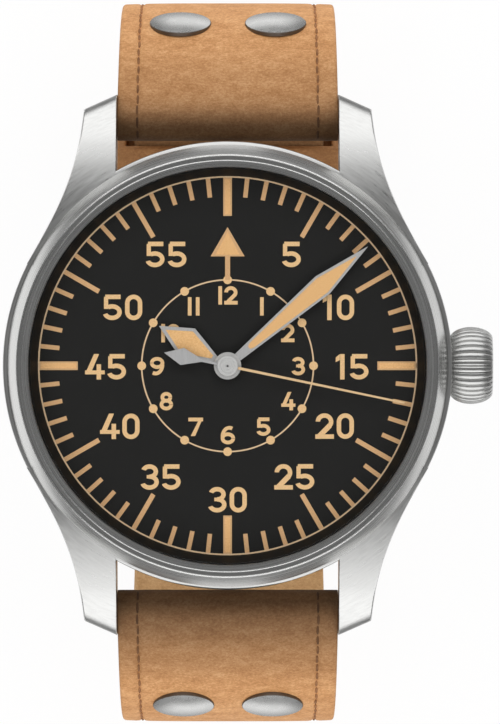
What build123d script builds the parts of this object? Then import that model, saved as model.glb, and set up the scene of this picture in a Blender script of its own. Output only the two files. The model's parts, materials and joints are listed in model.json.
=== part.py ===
from build123d import *
import os
from math import asin, atan2, cos, degrees, radians, sin, sqrt, tan

# A pilot's wrist watch on a buckled leather strap. Millimetres.
# Z points from the case back to the dial, Y to twelve o'clock, X to the crown at three.
# The origin is the centre of the flat outer face of the case back.

os.makedirs("parts", exist_ok=True)

# Plan of the movement: the plate reaches past the barrel or the balance, whichever is farther out
barrel_teeth_count = 72
centre_leaf_count = 12
addendum_share = 0.8
dedendum_share = 1.2
barrel_reach = 6.6
balance_reach = 8.0
balance_r = 4.2
plate_margin = 0.467
barrel_module = 2 * barrel_reach / (barrel_teeth_count + centre_leaf_count)
barrel_tip_r = barrel_module * (barrel_teeth_count / 2 + addendum_share)
movement_r = max(barrel_reach + barrel_tip_r, balance_reach + balance_r) + plate_margin

# Case
holder_width = 3.95
case_wall = 4.2
case_foot_inset = 2.1
case_top_inset = 0.25
case_foot_z = 0.9
case_belly_high = 2.1
case_top_z = 8.2
case_shoulder_high = 0.3
back_thread_step = 0.4
back_seat_high = 1.5
movement_bore_r = movement_r + holder_width
case_r = movement_bore_r + case_wall
case_foot_r = case_r - case_foot_inset
case_top_r = case_r - case_top_inset
back_thread_r = movement_bore_r + back_thread_step
case_belly_z = case_foot_z + case_belly_high
case_shoulder_z = case_top_z - case_shoulder_high
back_seat_z = case_foot_z + back_seat_high

# Lugs and the bars between them
lug_gap = 21.0
lug_reach = 4.3
lug_corner_wide = 2.9
lug_corner_inset = 1.45
lug_root_angle = 29.0
lug_root_proud = 0.04
lug_flank_r = 35.0
lug_crown_sink = 0.6
lug_crown_inset = 7.7
lug_tip_step = 0.2
lug_tip_high = 3.2
lug_sole_inset = 3.8
lug_sole_step = 0.6
lug_hole_clear = 0.05
lug_hole_deep = 1.1
bar_inset = 2.1
bar_rise = 0.5
bar_r = 0.75
bar_clear = 0.06
bar_pin_r = 0.4
lug_tip_y = case_r + lug_reach
lug_corner_x = lug_gap / 2 + lug_corner_wide
lug_corner_y = lug_tip_y - lug_corner_inset
lug_root_x = (case_r + lug_root_proud) * cos(radians(lug_root_angle))
lug_root_y = (case_r + lug_root_proud) * sin(radians(lug_root_angle))
lug_crown_y = lug_tip_y - lug_crown_inset
lug_crown_z = case_top_z - lug_crown_sink
lug_sole_y = lug_tip_y - lug_sole_inset
bar_y = lug_tip_y - bar_inset
bar_z = case_foot_z + bar_rise
lug_tip_top_z = bar_z + lug_tip_step
lug_tip_foot_z = lug_tip_top_z - lug_tip_high
lug_sole_z = lug_tip_foot_z + lug_sole_step

# Bezel and glass
bezel_step = 0.13
bezel_skirt = 0.35
bezel_slope = 0.92
bezel_high = 2.0
bezel_groove = 0.4
bezel_groove_deep = 0.2
bezel_rim_width = 0.14
bezel_lip_width = 0.61
bezel_lip_rise = 0.2
bezel_lip_thick = 0.55
glass_clear = 0.04
glass_sink = 1.1
glass_thick = 1.45
glass_bevel = 0.35
glass_seal_width = 0.5
flange_foot_inset = 1.05
flange_head_inset = 0.25
bezel_r = case_r - bezel_step
bezel_rim_r = bezel_r - bezel_slope
bezel_top_z = case_top_z + bezel_high
bezel_lip_r = bezel_rim_r - bezel_rim_width - bezel_groove - bezel_lip_width
bezel_lip_z = bezel_top_z + bezel_lip_rise
glass_z = bezel_lip_z - glass_sink
glass_top_z = glass_z + glass_thick

# Dial
dial_overlap = 0.1
dial_sink = 1.2
dial_thick = 0.4
dial_seat_clear = 0.06
dial_foot_r = 0.4
dial_foot_long = 1.1
dial_foot_inset = 2.25
dial_r = bezel_lip_r + dial_overlap
dial_z = case_top_z - dial_sink
flange_foot_r = dial_r - flange_foot_inset
flange_head_r = bezel_lip_r - flange_head_inset

# Case back
back_flat_inset = 3.3
back_edge_z = 0.35
back_collar_wall = 1.2
back_floor = 0.9
back_notch_count = 6
back_notch_width = 2.4
back_notch_long = 1.6
back_notch_deep = 0.45
back_seal_width = 0.6
back_seal_thick = 0.5
thread_clear = 0.05
back_flat_r = case_foot_r - back_flat_inset

# Movement plates
plate_sink = 1.9
plate_thick = 1.4
bridge_gap = 2.6
bridge_thick = 0.55
holder_rise = 0.1
holder_clear = 0.05
dial_foot_place = movement_r - dial_foot_inset
plate_foot_z = dial_z - plate_sink
bridge_z = plate_foot_z - bridge_gap
holder_foot_z = bridge_z + holder_rise

# Train, its heights measured down from the foot of the main plate
centre_teeth_count = 64
third_leaf_count = 8
third_teeth_count = 60
fourth_leaf_count = 8
fourth_teeth_count = 70
escape_leaf_count = 7
escape_teeth_count = 15
barrel_angle = 65.0
third_reach = 3.9
third_angle = 200.0
escape_reach = 3.5
escape_angle = 265.0
balance_angle = 235.0
wheel_thick = 0.12
pinion_thick = 0.4
centre_wheel_drop = 0.24
centre_pinion_drop = 0.7
barrel_drop = 1.6
barrel_high = 1.25
barrel_rim = 0.3
barrel_wall = 0.28
third_wheel_drop = 1.48
third_pinion_drop = 0.3
fourth_wheel_drop = 1.86
fourth_pinion_drop = 1.6
escape_pinion_drop = 1.98
escape_wheel_drop = 0.5
escape_r = 2.0
arbor_r = 0.2
pivot_clear = 0.03
seconds_arbor_r = 0.13
centre_pipe_r = 0.34
centre_bore_clear = 0.07
wheel_arm_count = 4
arm_inner_angle = 14.0
arm_outer_angle = 8.0
wheel_hub_r = 0.8
centre_hub_r = 1.36
rim_depth_share = 3.0
cannon_thick = 0.16
barrel_arbor_r = 0.52
barrel_bore_clear = 0.08
barrel_bore_r = barrel_arbor_r + barrel_bore_clear
centre_wheel_z = plate_foot_z - centre_wheel_drop
centre_pinion_z = plate_foot_z - centre_pinion_drop
barrel_foot_z = plate_foot_z - barrel_drop
third_wheel_z = plate_foot_z - third_wheel_drop
third_pinion_z = plate_foot_z - third_pinion_drop
fourth_wheel_z = plate_foot_z - fourth_wheel_drop
fourth_pinion_z = plate_foot_z - fourth_pinion_drop
escape_pinion_z = plate_foot_z - escape_pinion_drop
escape_wheel_z = plate_foot_z - escape_wheel_drop

# Mainspring
spring_coil_count = 4
spring_strip = 0.12
spring_inner_r = 1.3
spring_step_count = 12

# Escapement and balance
pallet_reach_share = 1.155
pallet_thick = 0.15
fork_width = 0.32
fork_slot = 0.2
roller_r = 0.95
pin_place = 0.75
pin_r = 0.07
balance_drop = 1.25
balance_thick = 0.22
balance_rim = 0.4
balance_arm = 0.5
escape_root_share = 0.78
stone_reach = 0.52
pallet_spread_angle = 30.0
pallet_bridge_drop = 0.96
pallet_bridge_thick = 0.3
pallet_bridge_long = 2.4
hairspring_drop = 1.7
hairspring_r = 2.2
hairspring_inner_r = 0.6
hairspring_coil_count = 4
hairspring_strip = 0.07
hairspring_high = 0.12
balance_z = plate_foot_z - balance_drop
pallet_bridge_z = plate_foot_z - pallet_bridge_drop
hairspring_z = plate_foot_z - hairspring_drop

# Motion work below the dial
cannon_leaf_count = 10
minute_teeth_count = 30
minute_leaf_count = 8
hour_teeth_count = 32
motion_reach = 3.0
motion_angle = 330.0
motion_gap = 0.04
cannon_wall = 0.26
hour_pipe_wall = 0.29
pipe_clear = 0.06
dial_hole_clear = 0.1
cannon_pipe_r = centre_pipe_r + cannon_wall
hour_pipe_r = cannon_pipe_r + pipe_clear + hour_pipe_wall

# Hands
hand_rise = 0.35
hand_gap = 0.19
needle_gap = 0.2
hand_thick = 0.18
needle_thick = 0.12
hand_frame = 0.24
hand_point = 0.96
hour_angle = 304.0
minute_angle = 49.4
seconds_angle = 101.8
hour_tip = 7.44
hour_wide = 2.68
hour_wide_at = 4.8
hour_neck = 0.7
minute_tip_clear = 0.45
minute_wide = 2.18
minute_wide_share = 0.6724
minute_neck = 0.77
minute_lume_foot = 2.6
seconds_tip_clear = 0.85
seconds_wide = 0.25
seconds_tail = 6.1
lozenge_wide = 1.64
lozenge_wide_at = 4.35
lozenge_foot = 2.45
hub_r = 1.32
hub_thick = 0.3
hour_hand_z = dial_z + dial_thick + hand_rise
minute_hand_z = hour_hand_z + hand_thick + hand_gap
seconds_hand_z = minute_hand_z + hand_thick + needle_gap
minute_tip = flange_foot_r - minute_tip_clear
minute_wide_at = minute_tip * minute_wide_share
seconds_tip = flange_foot_r - seconds_tip_clear

# Winding work, its places counted along the stem
stem_rise = 0.2
stem_r = 0.5
stem_inner_x = 6.1
stem_pilot_long = 1.15
pinion_long = 0.9
winding_leaf_count = 12
winding_tip_r = 0.95
winding_root_r = 0.74
clutch_long = 1.3
clutch_r = 0.85
clutch_waist_r = 0.68
square_clear = 0.05
stem_pilot_r = 0.35
stem_square = 0.7
stem_square_spare = 0.9
groove_step = 0.6
groove_width = 0.5
lever_reach = 1.6
lever_wide = 0.5
lever_thick = 0.3
nib_r = 0.14
contrate_teeth_count = 18
contrate_step = 0.9
contrate_r = 1.38
contrate_web_drop = 1.08
contrate_web_thick = 0.26
contrate_tooth = 0.2
contrate_width = 0.16
crown_spur_count = 24
ratchet_teeth_count = 44
ratchet_drop = 0.32
ratchet_thick = 0.26
click_long = 2.4
click_wide = 0.6
click_angle = 60.0
stem_z = plate_foot_z + stem_rise
pinion_x = stem_inner_x + stem_pilot_long
clutch_x = pinion_x + pinion_long + square_clear
stem_square_end_x = clutch_x + clutch_long + stem_square_spare
groove_x = stem_square_end_x + groove_step
contrate_place = pinion_x - contrate_step
contrate_web_z = plate_foot_z - contrate_web_drop
ratchet_z = bridge_z - ratchet_drop

# Crown and its tube
crown_r = 3.64
crown_end_step = 0.69
crown_gap = 0.25
crown_long = 3.85
crown_flute_count = 20
crown_flute_r = 0.42
crown_cone_share = 1.7
crown_bore_deep = 2.2
crown_seal_width = 0.6
crown_travel = 1.0
tube_clear = 0.28
tube_wall = 0.37
tube_proud = 0.4
crown_end_r = crown_r - crown_end_step
crown_foot_x = case_r + crown_gap
tube_bore_r = stem_r + tube_clear
tube_r = tube_bore_r + tube_wall
crown_bore_r = tube_r + crown_seal_width
tube_inner_x = movement_bore_r - tube_proud

# Rotor
rotor_inset = 0.65
rotor_rim = 2.4
rotor_gap = 1.2
rotor_web = 0.3
rotor_heavy = 0.85
rotor_hub_r = 2.1
bearing_r = 1.3
rotor_r = movement_r - rotor_inset
rotor_z = bridge_z - rotor_gap

# Strap: a loop of one radius at both ends with a flat sole
loop_bulge = 11.75
loop_r = 23.5
leather = 1.4
lining = 1.2
flap = 1.2
fold_r = 1.9
flap_end_angle = 78.0
strap_clear = 0.15
strap_silhouette_taper = 0.3
strap_sole_taper = 2.1
layer_clear = 0.15
tail_thick = 2.2
tail_end_angle = 128.0
tail_point = 9.0
tail_corner_angle = 45.0
ramp_start_share = 0.83
ramp_end_share = 0.3057
hole_r = 1.0
hole_pitch = 7.0
hole_count = 4
rivet_r = 2.92
rivet_dome = 0.75
rivet_rim_share = 0.72
rivet_post_r = 0.8
rivet_place = 4.4
rivet_angle = 64.6
keeper_thick = 1.0
keeper_width = 5.0
keeper_clear = 0.3
free_keeper_angle = 157.0
fixed_keeper_share = 0.5764
strap_width = lug_gap - 2 * strap_clear
strap_silhouette_width = strap_width - strap_silhouette_taper
strap_sole_width = strap_width - strap_sole_taper
strap_thick = leather + lining
loop_reach = bar_y + loop_bulge
loop_y = loop_reach - loop_r
bar_depth_r = loop_r - fold_r
loop_z = bar_z - sqrt(bar_depth_r**2 - (bar_y - loop_y) ** 2)
bar_angle = degrees(asin((bar_y - loop_y) / bar_depth_r))
sole_z = loop_z - loop_r
ramp_start_y = -loop_y * ramp_start_share
ramp_end_y = -loop_y * ramp_end_share
fixed_keeper_y = loop_y * fixed_keeper_share
lining_start = bar_angle + degrees(fold_r / loop_r)
sole_low_z = sole_z - layer_clear - tail_thick - keeper_clear - keeper_thick

# Buckle
buckle_bar_share = 0.1397
buckle_long = 10.6
buckle_clear = 0.4
buckle_rail = 2.2
buckle_thick = 2.0
buckle_bar_r = 0.7
tongue_wide = 1.7
tongue_thick = 1.1
tongue_clear = 0.08
tongue_eye = 0.45
tongue_lift_angle = 10.0
buckle_bar_y = -loop_y * buckle_bar_share
buckle_bar_z = sole_z + strap_thick / 2
buckle_inner = strap_sole_width + 2 * buckle_clear

# Jewels, screws and the feet of the bridges, as shares of the movement's radius
jewel_r = 0.55
jewel_thick = 0.3
screw_r = 0.6
screw_high = 0.3
barrel_feet_shares = [(0.848, 0.28), (-0.389, 0.739)]
train_feet_shares = [(-0.646, 0.14), (0.327, -0.591)]
cock_foot_shares = (-0.794, -0.249)
train_joint_shares = (-0.148, -0.093)
bridge_wide = 2.4
overrun = 2.0
prism_r = 1.25
prism_side_count = 12


def on_plate(shares):
    """A place on the main plate from its shares of the plate's radius."""
    return (movement_r * shares[0], movement_r * shares[1])


barrel_feet = [on_plate(shares) for shares in barrel_feet_shares]
train_feet = [on_plate(shares) for shares in train_feet_shares]
cock_foot = on_plate(cock_foot_shares)
train_joint = on_plate(train_joint_shares)


def at(reach, turn):
    """A place in the plan, by its distance from the centre and its angle from the crown."""
    return (reach * cos(radians(turn)), reach * sin(radians(turn)))


barrel_at = at(barrel_reach, barrel_angle)
third_at = at(third_reach, third_angle)
escape_at = at(escape_reach, escape_angle)
balance_at = at(balance_reach, balance_angle)
motion_at = at(motion_reach, motion_angle)
contrate_at = (contrate_place, 0)
lever_foot_z = stem_z - stem_r - pivot_clear - lever_thick
nib_x = groove_x + groove_width / 2


def keep(shape, name):
    """Write one piece to its own file."""
    export_step(shape, f"parts/{name}.step")


def turned(profile):
    """A ring or disc turned round the Z axis from points of radius and height."""
    outline = Polyline(*[(r, 0, z) for r, z in profile], close=True)
    return revolve(make_face(outline), Axis.Z)


def rod(r, long):
    """A round bar along Z from its foot; the thinnest ones are prisms, which keeps their facets few."""
    if r < prism_r:
        return extrude(RegularPolygon(r, prism_side_count), long)
    return Cylinder(r, long, align=(Align.CENTER, Align.CENTER, Align.MIN))


def disc(r, z, thick, place=(0, 0)):
    """A round plate standing on height z."""
    return Pos(*place, z) * rod(r, thick)


def box(x0, x1, y0, y1, z0, z1):
    """A block between two corners."""
    return Pos((x0 + x1) / 2, (y0 + y1) / 2, (z0 + z1) / 2) * Box(x1 - x0, y1 - y0, z1 - z0)


def slab(points, z, thick):
    """A plate of constant thickness over a plan outline."""
    return Pos(0, 0, z) * extrude(make_face(Polyline(*points, close=True)), thick)


def compass(turn):
    """The turn about Z that brings a piece drawn at twelve to a clock angle."""
    return Rot(0, 0, -turn)


def module_of(reach, teeth_a, teeth_b):
    """Gear module that puts two wheels in mesh at a centre distance."""
    return 2 * reach / (teeth_a + teeth_b)


def mesh_turn(turn_a, teeth_a, direction, teeth_b):
    """Turn of a wheel whose gap faces the tooth of its partner along a direction."""
    share = (turn_a - direction) * teeth_a / 360
    return direction + 180 + (0.5 - share) * 360 / teeth_b


def toothed(teeth, module, turn, z, thick, place):
    """A wheel with pointed teeth, one tooth at the angle turn."""
    pitch_r = module * teeth / 2
    tip_r = pitch_r + addendum_share * module
    root_r = pitch_r - dedendum_share * module
    points = []
    for k in range(teeth):
        points.append(at(tip_r, turn + 360 * k / teeth))
        points.append(at(root_r, turn + 360 * (k + 0.5) / teeth))
    return Pos(*place, 0) * slab(points, z, thick)


def case_middle():
    """Turned ring with four lugs, bored for the movement, the dial and the crown tube."""
    body = turned([
        (movement_bore_r, case_foot_z), (case_foot_r, case_foot_z), (case_r, case_belly_z),
        (case_r, case_shoulder_z), (case_top_r, case_top_z), (movement_bore_r, case_top_z),
    ])
    body += lugs()
    body -= disc(dial_r + dial_seat_clear, dial_z, overrun)
    body -= disc(back_thread_r, case_foot_z - overrun, back_seat_z - case_foot_z + overrun)
    body -= disc(movement_bore_r, case_foot_z - overrun, case_top_z)
    body -= disc(case_foot_r, case_foot_z - case_top_z, case_top_z)
    return body - along_x(tube_r, tube_inner_x - overrun, case_r + overrun)


def lugs():
    """The plan of one lug, bowed along its flank, cut to its side profile, four times."""
    chord = Line((lug_corner_x, lug_corner_y), (lug_root_x, lug_root_y))
    half = chord.length / 2
    sag = lug_flank_r - sqrt(lug_flank_r**2 - half**2)
    across = chord.tangent_at(0).rotate(Axis.Z, -90)
    middle = chord.position_at(0.5) + across * sag
    flank = ThreePointArc(chord @ 0, middle, chord @ 1)
    inner_x = lug_gap / 2
    root_y = lug_root_y
    plan = make_face([
        flank,
        Line((lug_root_x, root_y), (inner_x, root_y)),
        Line((inner_x, root_y), (inner_x, lug_tip_y)),
        Line((inner_x, lug_tip_y), (lug_corner_x, lug_corner_y)),
    ])
    column = Pos(0, 0, -lug_tip_y) * extrude(plan, 2 * lug_tip_y)
    top = ThreePointArc(
        (0, root_y, lug_crown_z),
        (0, (lug_crown_y + lug_tip_y) / 2, (lug_crown_z + lug_crown_z + lug_tip_top_z) / 3),
        (0, lug_tip_y, lug_tip_top_z),
    )
    side = make_face([
        top,
        Line((0, lug_tip_y, lug_tip_top_z), (0, lug_tip_y, lug_tip_foot_z)),
        Line((0, lug_tip_y, lug_tip_foot_z), (0, lug_sole_y, lug_sole_z)),
        Line((0, lug_sole_y, lug_sole_z), (0, root_y, case_foot_z)),
        Line((0, root_y, case_foot_z), (0, root_y, lug_crown_z)),
    ])
    beam = extrude(side, case_r, dir=(1, 0, 0))
    hole = bar_along_x(bar_pin_r + lug_hole_clear, bar_y, bar_z, lug_gap + 2 * lug_hole_deep)
    lug = (column & beam) - hole
    pair = lug + mirror(lug, Plane.YZ)
    return pair + mirror(pair, Plane.XZ)


def along_x(r, x0, x1, z=stem_z):
    """A round bar along X on the stem's axis."""
    return Pos(x0, 0, z) * Rot(0, 90, 0) * rod(r, x1 - x0)


def bezel():
    """Sloped ring with a narrow polished rim, a groove and an inner lip over the glass."""
    rim_in = bezel_rim_r - bezel_rim_width
    groove_in = rim_in - bezel_groove
    return turned([
        (dial_r + dial_seat_clear, case_top_z), (bezel_r, case_top_z), (bezel_r, case_top_z + bezel_skirt),
        (bezel_rim_r, bezel_top_z), (rim_in, bezel_top_z), (rim_in, bezel_top_z - bezel_groove_deep),
        (groove_in, bezel_top_z - bezel_groove_deep), (groove_in, bezel_lip_z),
        (bezel_lip_r, bezel_lip_z), (bezel_lip_r, bezel_lip_z - bezel_lip_thick),
        (bezel_lip_r + glass_seal_width, bezel_lip_z - bezel_lip_thick),
        (bezel_lip_r + glass_seal_width, glass_z - glass_clear),
        (dial_r + dial_seat_clear, glass_z - glass_clear),
    ])


def crystal():
    """Flat glass with a bevelled edge."""
    r = bezel_lip_r - glass_clear
    return turned([
        (0, glass_z), (r, glass_z), (r, glass_top_z - glass_bevel), (r - glass_bevel, glass_top_z), (0, glass_top_z),
    ])


def crystal_gasket():
    """Square ring between glass and bezel, under the lip."""
    z = glass_z
    inner = bezel_lip_r - glass_clear
    outer = bezel_lip_r + glass_seal_width - glass_clear
    high = bezel_lip_z - bezel_lip_thick - z
    return turned([(inner, z), (outer, z), (outer, z + high), (inner, z + high)])


def rehaut_ring():
    """Sloped black flange from the dial up to the glass."""
    foot_z = dial_z + dial_thick
    return turned([
        (flange_foot_r, foot_z), (dial_r, foot_z), (dial_r, glass_z - glass_clear),
        (flange_head_r, glass_z - glass_clear),
    ])


def dial():
    """Disc with a centre hole and two feet that enter the main plate."""
    plate = disc(dial_r, dial_z, dial_thick)
    for side in (-1, 1):
        plate += disc(dial_foot_r, dial_z - dial_foot_long, dial_foot_long, (0, side * dial_foot_place))
    return plate - disc(hour_pipe_r + dial_hole_clear, dial_z - overrun, dial_thick + 2 * overrun)


def case_back():
    """Screwed back: flat plate with key notches round it and a collar up into the case."""
    collar_r = back_thread_r - thread_clear
    seal_r = collar_r + thread_clear + back_seal_width
    seal_z = case_foot_z - back_seal_thick
    plate = turned([
        (0, 0), (back_flat_r, 0), (case_foot_r - thread_clear, back_edge_z),
        (case_foot_r - thread_clear, case_foot_z), (seal_r, case_foot_z), (seal_r, seal_z), (collar_r, seal_z),
        (collar_r, back_seat_z),
        (collar_r - back_collar_wall, back_seat_z), (collar_r - back_collar_wall, back_floor), (0, back_floor),
    ])
    notch = Pos(back_flat_r, 0, 0) * Box(back_notch_long, back_notch_width, 2 * back_notch_deep)
    return plate - [Rot(0, 0, 360 * (k + 0.5) / back_notch_count) * notch for k in range(back_notch_count)]


def case_back_gasket():
    """Square gasket ring beside the collar of the back, against the underside of the case."""
    inner = back_thread_r
    outer = inner + back_seal_width
    z = case_foot_z - back_seal_thick
    return turned([(inner, z), (outer, z), (outer, case_foot_z), (inner, case_foot_z)])


def movement_ring():
    """Ring that centres the movement in the case, slotted for the stem."""
    outer = movement_bore_r - holder_clear
    inner = movement_r + holder_clear
    ring = turned([(inner, holder_foot_z), (outer, holder_foot_z), (outer, dial_z), (inner, dial_z)])
    side = tube_r + holder_clear
    return ring - box(movement_r - overrun, case_r, -side, side, stem_z - side, dial_z + overrun)


def main_plate():
    """Round plate that carries the train below and the motion work above."""
    plate = disc(movement_r, plate_foot_z, plate_thick)
    side = winding_tip_r + stem_r / 2
    plate -= box(stem_inner_x - stem_r, movement_r + overrun, -side, side, plate_foot_z - overrun, stem_z + side)
    plate -= disc(centre_pipe_r + pivot_clear, plate_foot_z - overrun, plate_thick + 2 * overrun)
    for place in (escape_at, balance_at):
        plate -= disc(jewel_r, plate_foot_z - overrun, overrun + jewel_thick, place)
    for place in (third_at, pallet_at()):
        plate -= disc(arbor_r + pivot_clear, plate_foot_z - overrun, overrun + jewel_thick, place)
    plate -= disc(barrel_bore_r, plate_foot_z - overrun, overrun + jewel_thick, barrel_at)
    plate -= disc(arbor_r + pivot_clear, plate_foot_z + plate_thick - pinion_thick, plate_thick, motion_at)
    for side in (-1, 1):
        plate -= disc(dial_foot_r + pivot_clear, plate_foot_z, plate_thick + overrun, (0, side * dial_foot_place))
    return plate + disc(arbor_r, lever_foot_z, plate_foot_z - lever_foot_z, (nib_x, -lever_reach))


def pallet_line():
    """Angle of the line from the escape wheel to the balance."""
    return degrees(atan2(balance_at[1] - escape_at[1], balance_at[0] - escape_at[0]))


def pallet_at():
    """Place of the pallet arbor on that line."""
    reach = escape_r * pallet_reach_share
    step = at(reach, pallet_line())
    return (escape_at[0] + step[0], escape_at[1] + step[1])


def arm(a, b, wide, z, thick):
    """A flat bar with round ends between two places."""
    turn = degrees(atan2(b[1] - a[1], b[0] - a[0]))
    long = sqrt((b[0] - a[0]) ** 2 + (b[1] - a[1]) ** 2)
    bar = Pos((a[0] + b[0]) / 2, (a[1] + b[1]) / 2, z + thick / 2) * Rot(0, 0, turn) * Box(long, wide, thick)
    return bar + disc(wide / 2, z, thick, a) + disc(wide / 2, z, thick, b)


def bridge(links, jewelled, bored, bore_r):
    """Arms from feet on the main plate to the pivots, bored for jewels or for the staffs."""
    body = arm(*links[0], bridge_wide, bridge_z, bridge_thick)
    for foot, place in links:
        body += arm(foot, place, bridge_wide, bridge_z, bridge_thick)
        body += disc(bridge_wide / 2, bridge_z, plate_foot_z - bridge_z, foot)
    for place in jewelled:
        body -= disc(jewel_r, bridge_z - overrun, jewel_thick + overrun, place)
        body -= disc(arbor_r + pivot_clear, bridge_z, 2 * bridge_thick, place)
    for place in bored:
        body -= disc(bore_r, bridge_z - overrun, 2 * overrun, place)
    return body


def barrel_bridge():
    """Bridge over the barrel and the crown wheel."""
    first, second = barrel_feet
    links = [(first, barrel_at), (second, barrel_at), (first, contrate_at)]
    return bridge(links, [], [barrel_at, contrate_at], barrel_bore_r)


def train_bridge():
    """Bridge over the seconds wheel, the third wheel and the escape wheel."""
    first, second = train_feet
    links = [(first, (0, 0)), (first, third_at), (second, escape_at)]
    body = bridge(links, [], [(0, 0), third_at], arbor_r + pivot_clear)
    span = arm(escape_at, train_joint, bridge_wide, bridge_z, bridge_thick)
    body += span
    body -= disc(jewel_r, bridge_z - overrun, jewel_thick + overrun, escape_at)
    return body - disc(arbor_r + pivot_clear, bridge_z, 2 * bridge_thick, escape_at)


def balance_cock():
    """Cock over the balance."""
    return bridge([(cock_foot, balance_at)], [balance_at], [], arbor_r)


def wheel_windows(inner_r, outer_r, z, thick, place):
    """The openings between the arms of a wheel."""
    cuts = []
    span = 360 / wheel_arm_count
    corners = [
        (inner_r, arm_inner_angle), (outer_r, arm_outer_angle), (outer_r, span / 2),
        (outer_r, span - arm_outer_angle), (inner_r, span - arm_inner_angle),
    ]
    for k in range(wheel_arm_count):
        points = [at(r, turn + span * k) for r, turn in corners]
        cuts.append(Pos(*place, 0) * slab(points, z - thick, 3 * thick))
    return cuts


def spiral_strip(inner_r, outer_r, turns, strip, z, high, place):
    """A flat coil of strip with an even gap between its turns."""
    count = turns * spring_step_count
    out_side = []
    in_side = []
    for k in range(count + 1):
        r = inner_r + (outer_r - inner_r) * k / count
        turn = 360 * k / spring_step_count
        out_side.append(at(r + strip / 2, turn))
        in_side.append(at(r - strip / 2, turn))
    return Pos(*place, 0) * slab(out_side + in_side[::-1], z, high)


def arbor(place, foot_z=None, head_z=None):
    """A pivot staff from the jewel in the bridge to the jewel in the main plate."""
    foot_z = bridge_z + pivot_clear if foot_z is None else foot_z
    head_z = plate_foot_z + jewel_thick - pivot_clear if head_z is None else head_z
    return disc(arbor_r, foot_z, head_z - foot_z, place)


centre_module = module_of(third_reach, centre_teeth_count, third_leaf_count)
third_module = module_of(third_reach, third_teeth_count, fourth_leaf_count)
fourth_module = module_of(escape_reach, fourth_teeth_count, escape_leaf_count)
cannon_module = module_of(motion_reach, cannon_leaf_count, minute_teeth_count)
hour_module = module_of(motion_reach, minute_leaf_count, hour_teeth_count)
drum_r = barrel_module * (barrel_teeth_count / 2 - dedendum_share)
drum_top_z = barrel_foot_z + barrel_high
arbor_hub_r = spring_inner_r - 2 * spring_strip


def barrel_drum():
    """Open drum with a toothed rim beside the main plate."""
    turn = mesh_turn(0, centre_leaf_count, barrel_angle, barrel_teeth_count)
    rim = toothed(barrel_teeth_count, barrel_module, turn, drum_top_z - barrel_rim, barrel_rim, barrel_at)
    body = rim + disc(drum_r, barrel_foot_z, barrel_high, barrel_at)
    body -= disc(drum_r - barrel_wall, barrel_foot_z - overrun, barrel_high - barrel_wall + overrun, barrel_at)
    return body - disc(barrel_bore_r, barrel_foot_z, barrel_high + overrun, barrel_at)


def barrel_cover():
    """Lid pressed into the open side of the drum."""
    lid = disc(drum_r - barrel_wall, barrel_foot_z, barrel_wall / 2, barrel_at)
    return lid - disc(barrel_bore_r, barrel_foot_z - overrun, 2 * overrun, barrel_at)


def barrel_arbor():
    """Staff of the mainspring, with its hub inside the drum and its square end below the bridge."""
    hub_z = barrel_foot_z + barrel_wall / 2 + pivot_clear
    hub = disc(arbor_hub_r, hub_z, drum_top_z - barrel_wall - pivot_clear - hub_z, barrel_at)
    top = plate_foot_z + jewel_thick - pivot_clear
    return hub + disc(barrel_arbor_r, ratchet_z, top - ratchet_z, barrel_at)


def mainspring():
    """Coiled steel strip that fills the drum."""
    foot = barrel_foot_z + barrel_wall / 2 + pivot_clear
    high = drum_top_z - barrel_wall - pivot_clear - foot
    return spiral_strip(spring_inner_r, drum_r - barrel_wall - spring_strip, spring_coil_count, spring_strip,
                        foot, high, barrel_at)


def centre_wheel():
    """Pinion driven by the barrel, wheel that drives the third pinion, and the hollow centre staff."""
    body = toothed(centre_leaf_count, barrel_module, 0, centre_pinion_z, pinion_thick, (0, 0))
    body += toothed(centre_teeth_count, centre_module, 0, centre_wheel_z, wheel_thick, (0, 0))
    rim_r = centre_module * (centre_teeth_count / 2 - rim_depth_share)
    body -= wheel_windows(centre_hub_r, rim_r, centre_wheel_z, wheel_thick, (0, 0))
    body += disc(centre_pipe_r, centre_pinion_z, dial_z - centre_pinion_z)
    return body - disc(seconds_arbor_r + centre_bore_clear, centre_pinion_z - overrun, dial_z)


def third_wheel():
    """Pinion driven by the centre wheel and the wheel that drives the seconds pinion."""
    turn = mesh_turn(0, centre_teeth_count, third_angle, third_leaf_count)
    body = toothed(third_leaf_count, centre_module, turn, third_pinion_z, pinion_thick / 2, third_at)
    body += toothed(third_teeth_count, third_module, turn, third_wheel_z, wheel_thick, third_at)
    rim_r = third_module * (third_teeth_count / 2 - rim_depth_share)
    body -= wheel_windows(wheel_hub_r, rim_r, third_wheel_z, wheel_thick, third_at)
    return body + arbor(third_at)


def fourth_wheel():
    """Seconds wheel on the long thin staff that carries the seconds hand."""
    third_phase = mesh_turn(0, centre_teeth_count, third_angle, third_leaf_count)
    turn = mesh_turn(third_phase, third_teeth_count, third_angle + 180, fourth_leaf_count)
    body = toothed(fourth_leaf_count, third_module, turn, fourth_pinion_z, pinion_thick, (0, 0))
    body += toothed(fourth_teeth_count, fourth_module, turn, fourth_wheel_z, wheel_thick, (0, 0))
    rim_r = fourth_module * (fourth_teeth_count / 2 - rim_depth_share)
    body -= wheel_windows(wheel_hub_r, rim_r, fourth_wheel_z, wheel_thick, (0, 0))
    body += arbor((0, 0), head_z=centre_pinion_z - barrel_rim / 2)
    return body + disc(seconds_arbor_r, fourth_wheel_z, seconds_hand_z - fourth_wheel_z)


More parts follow.
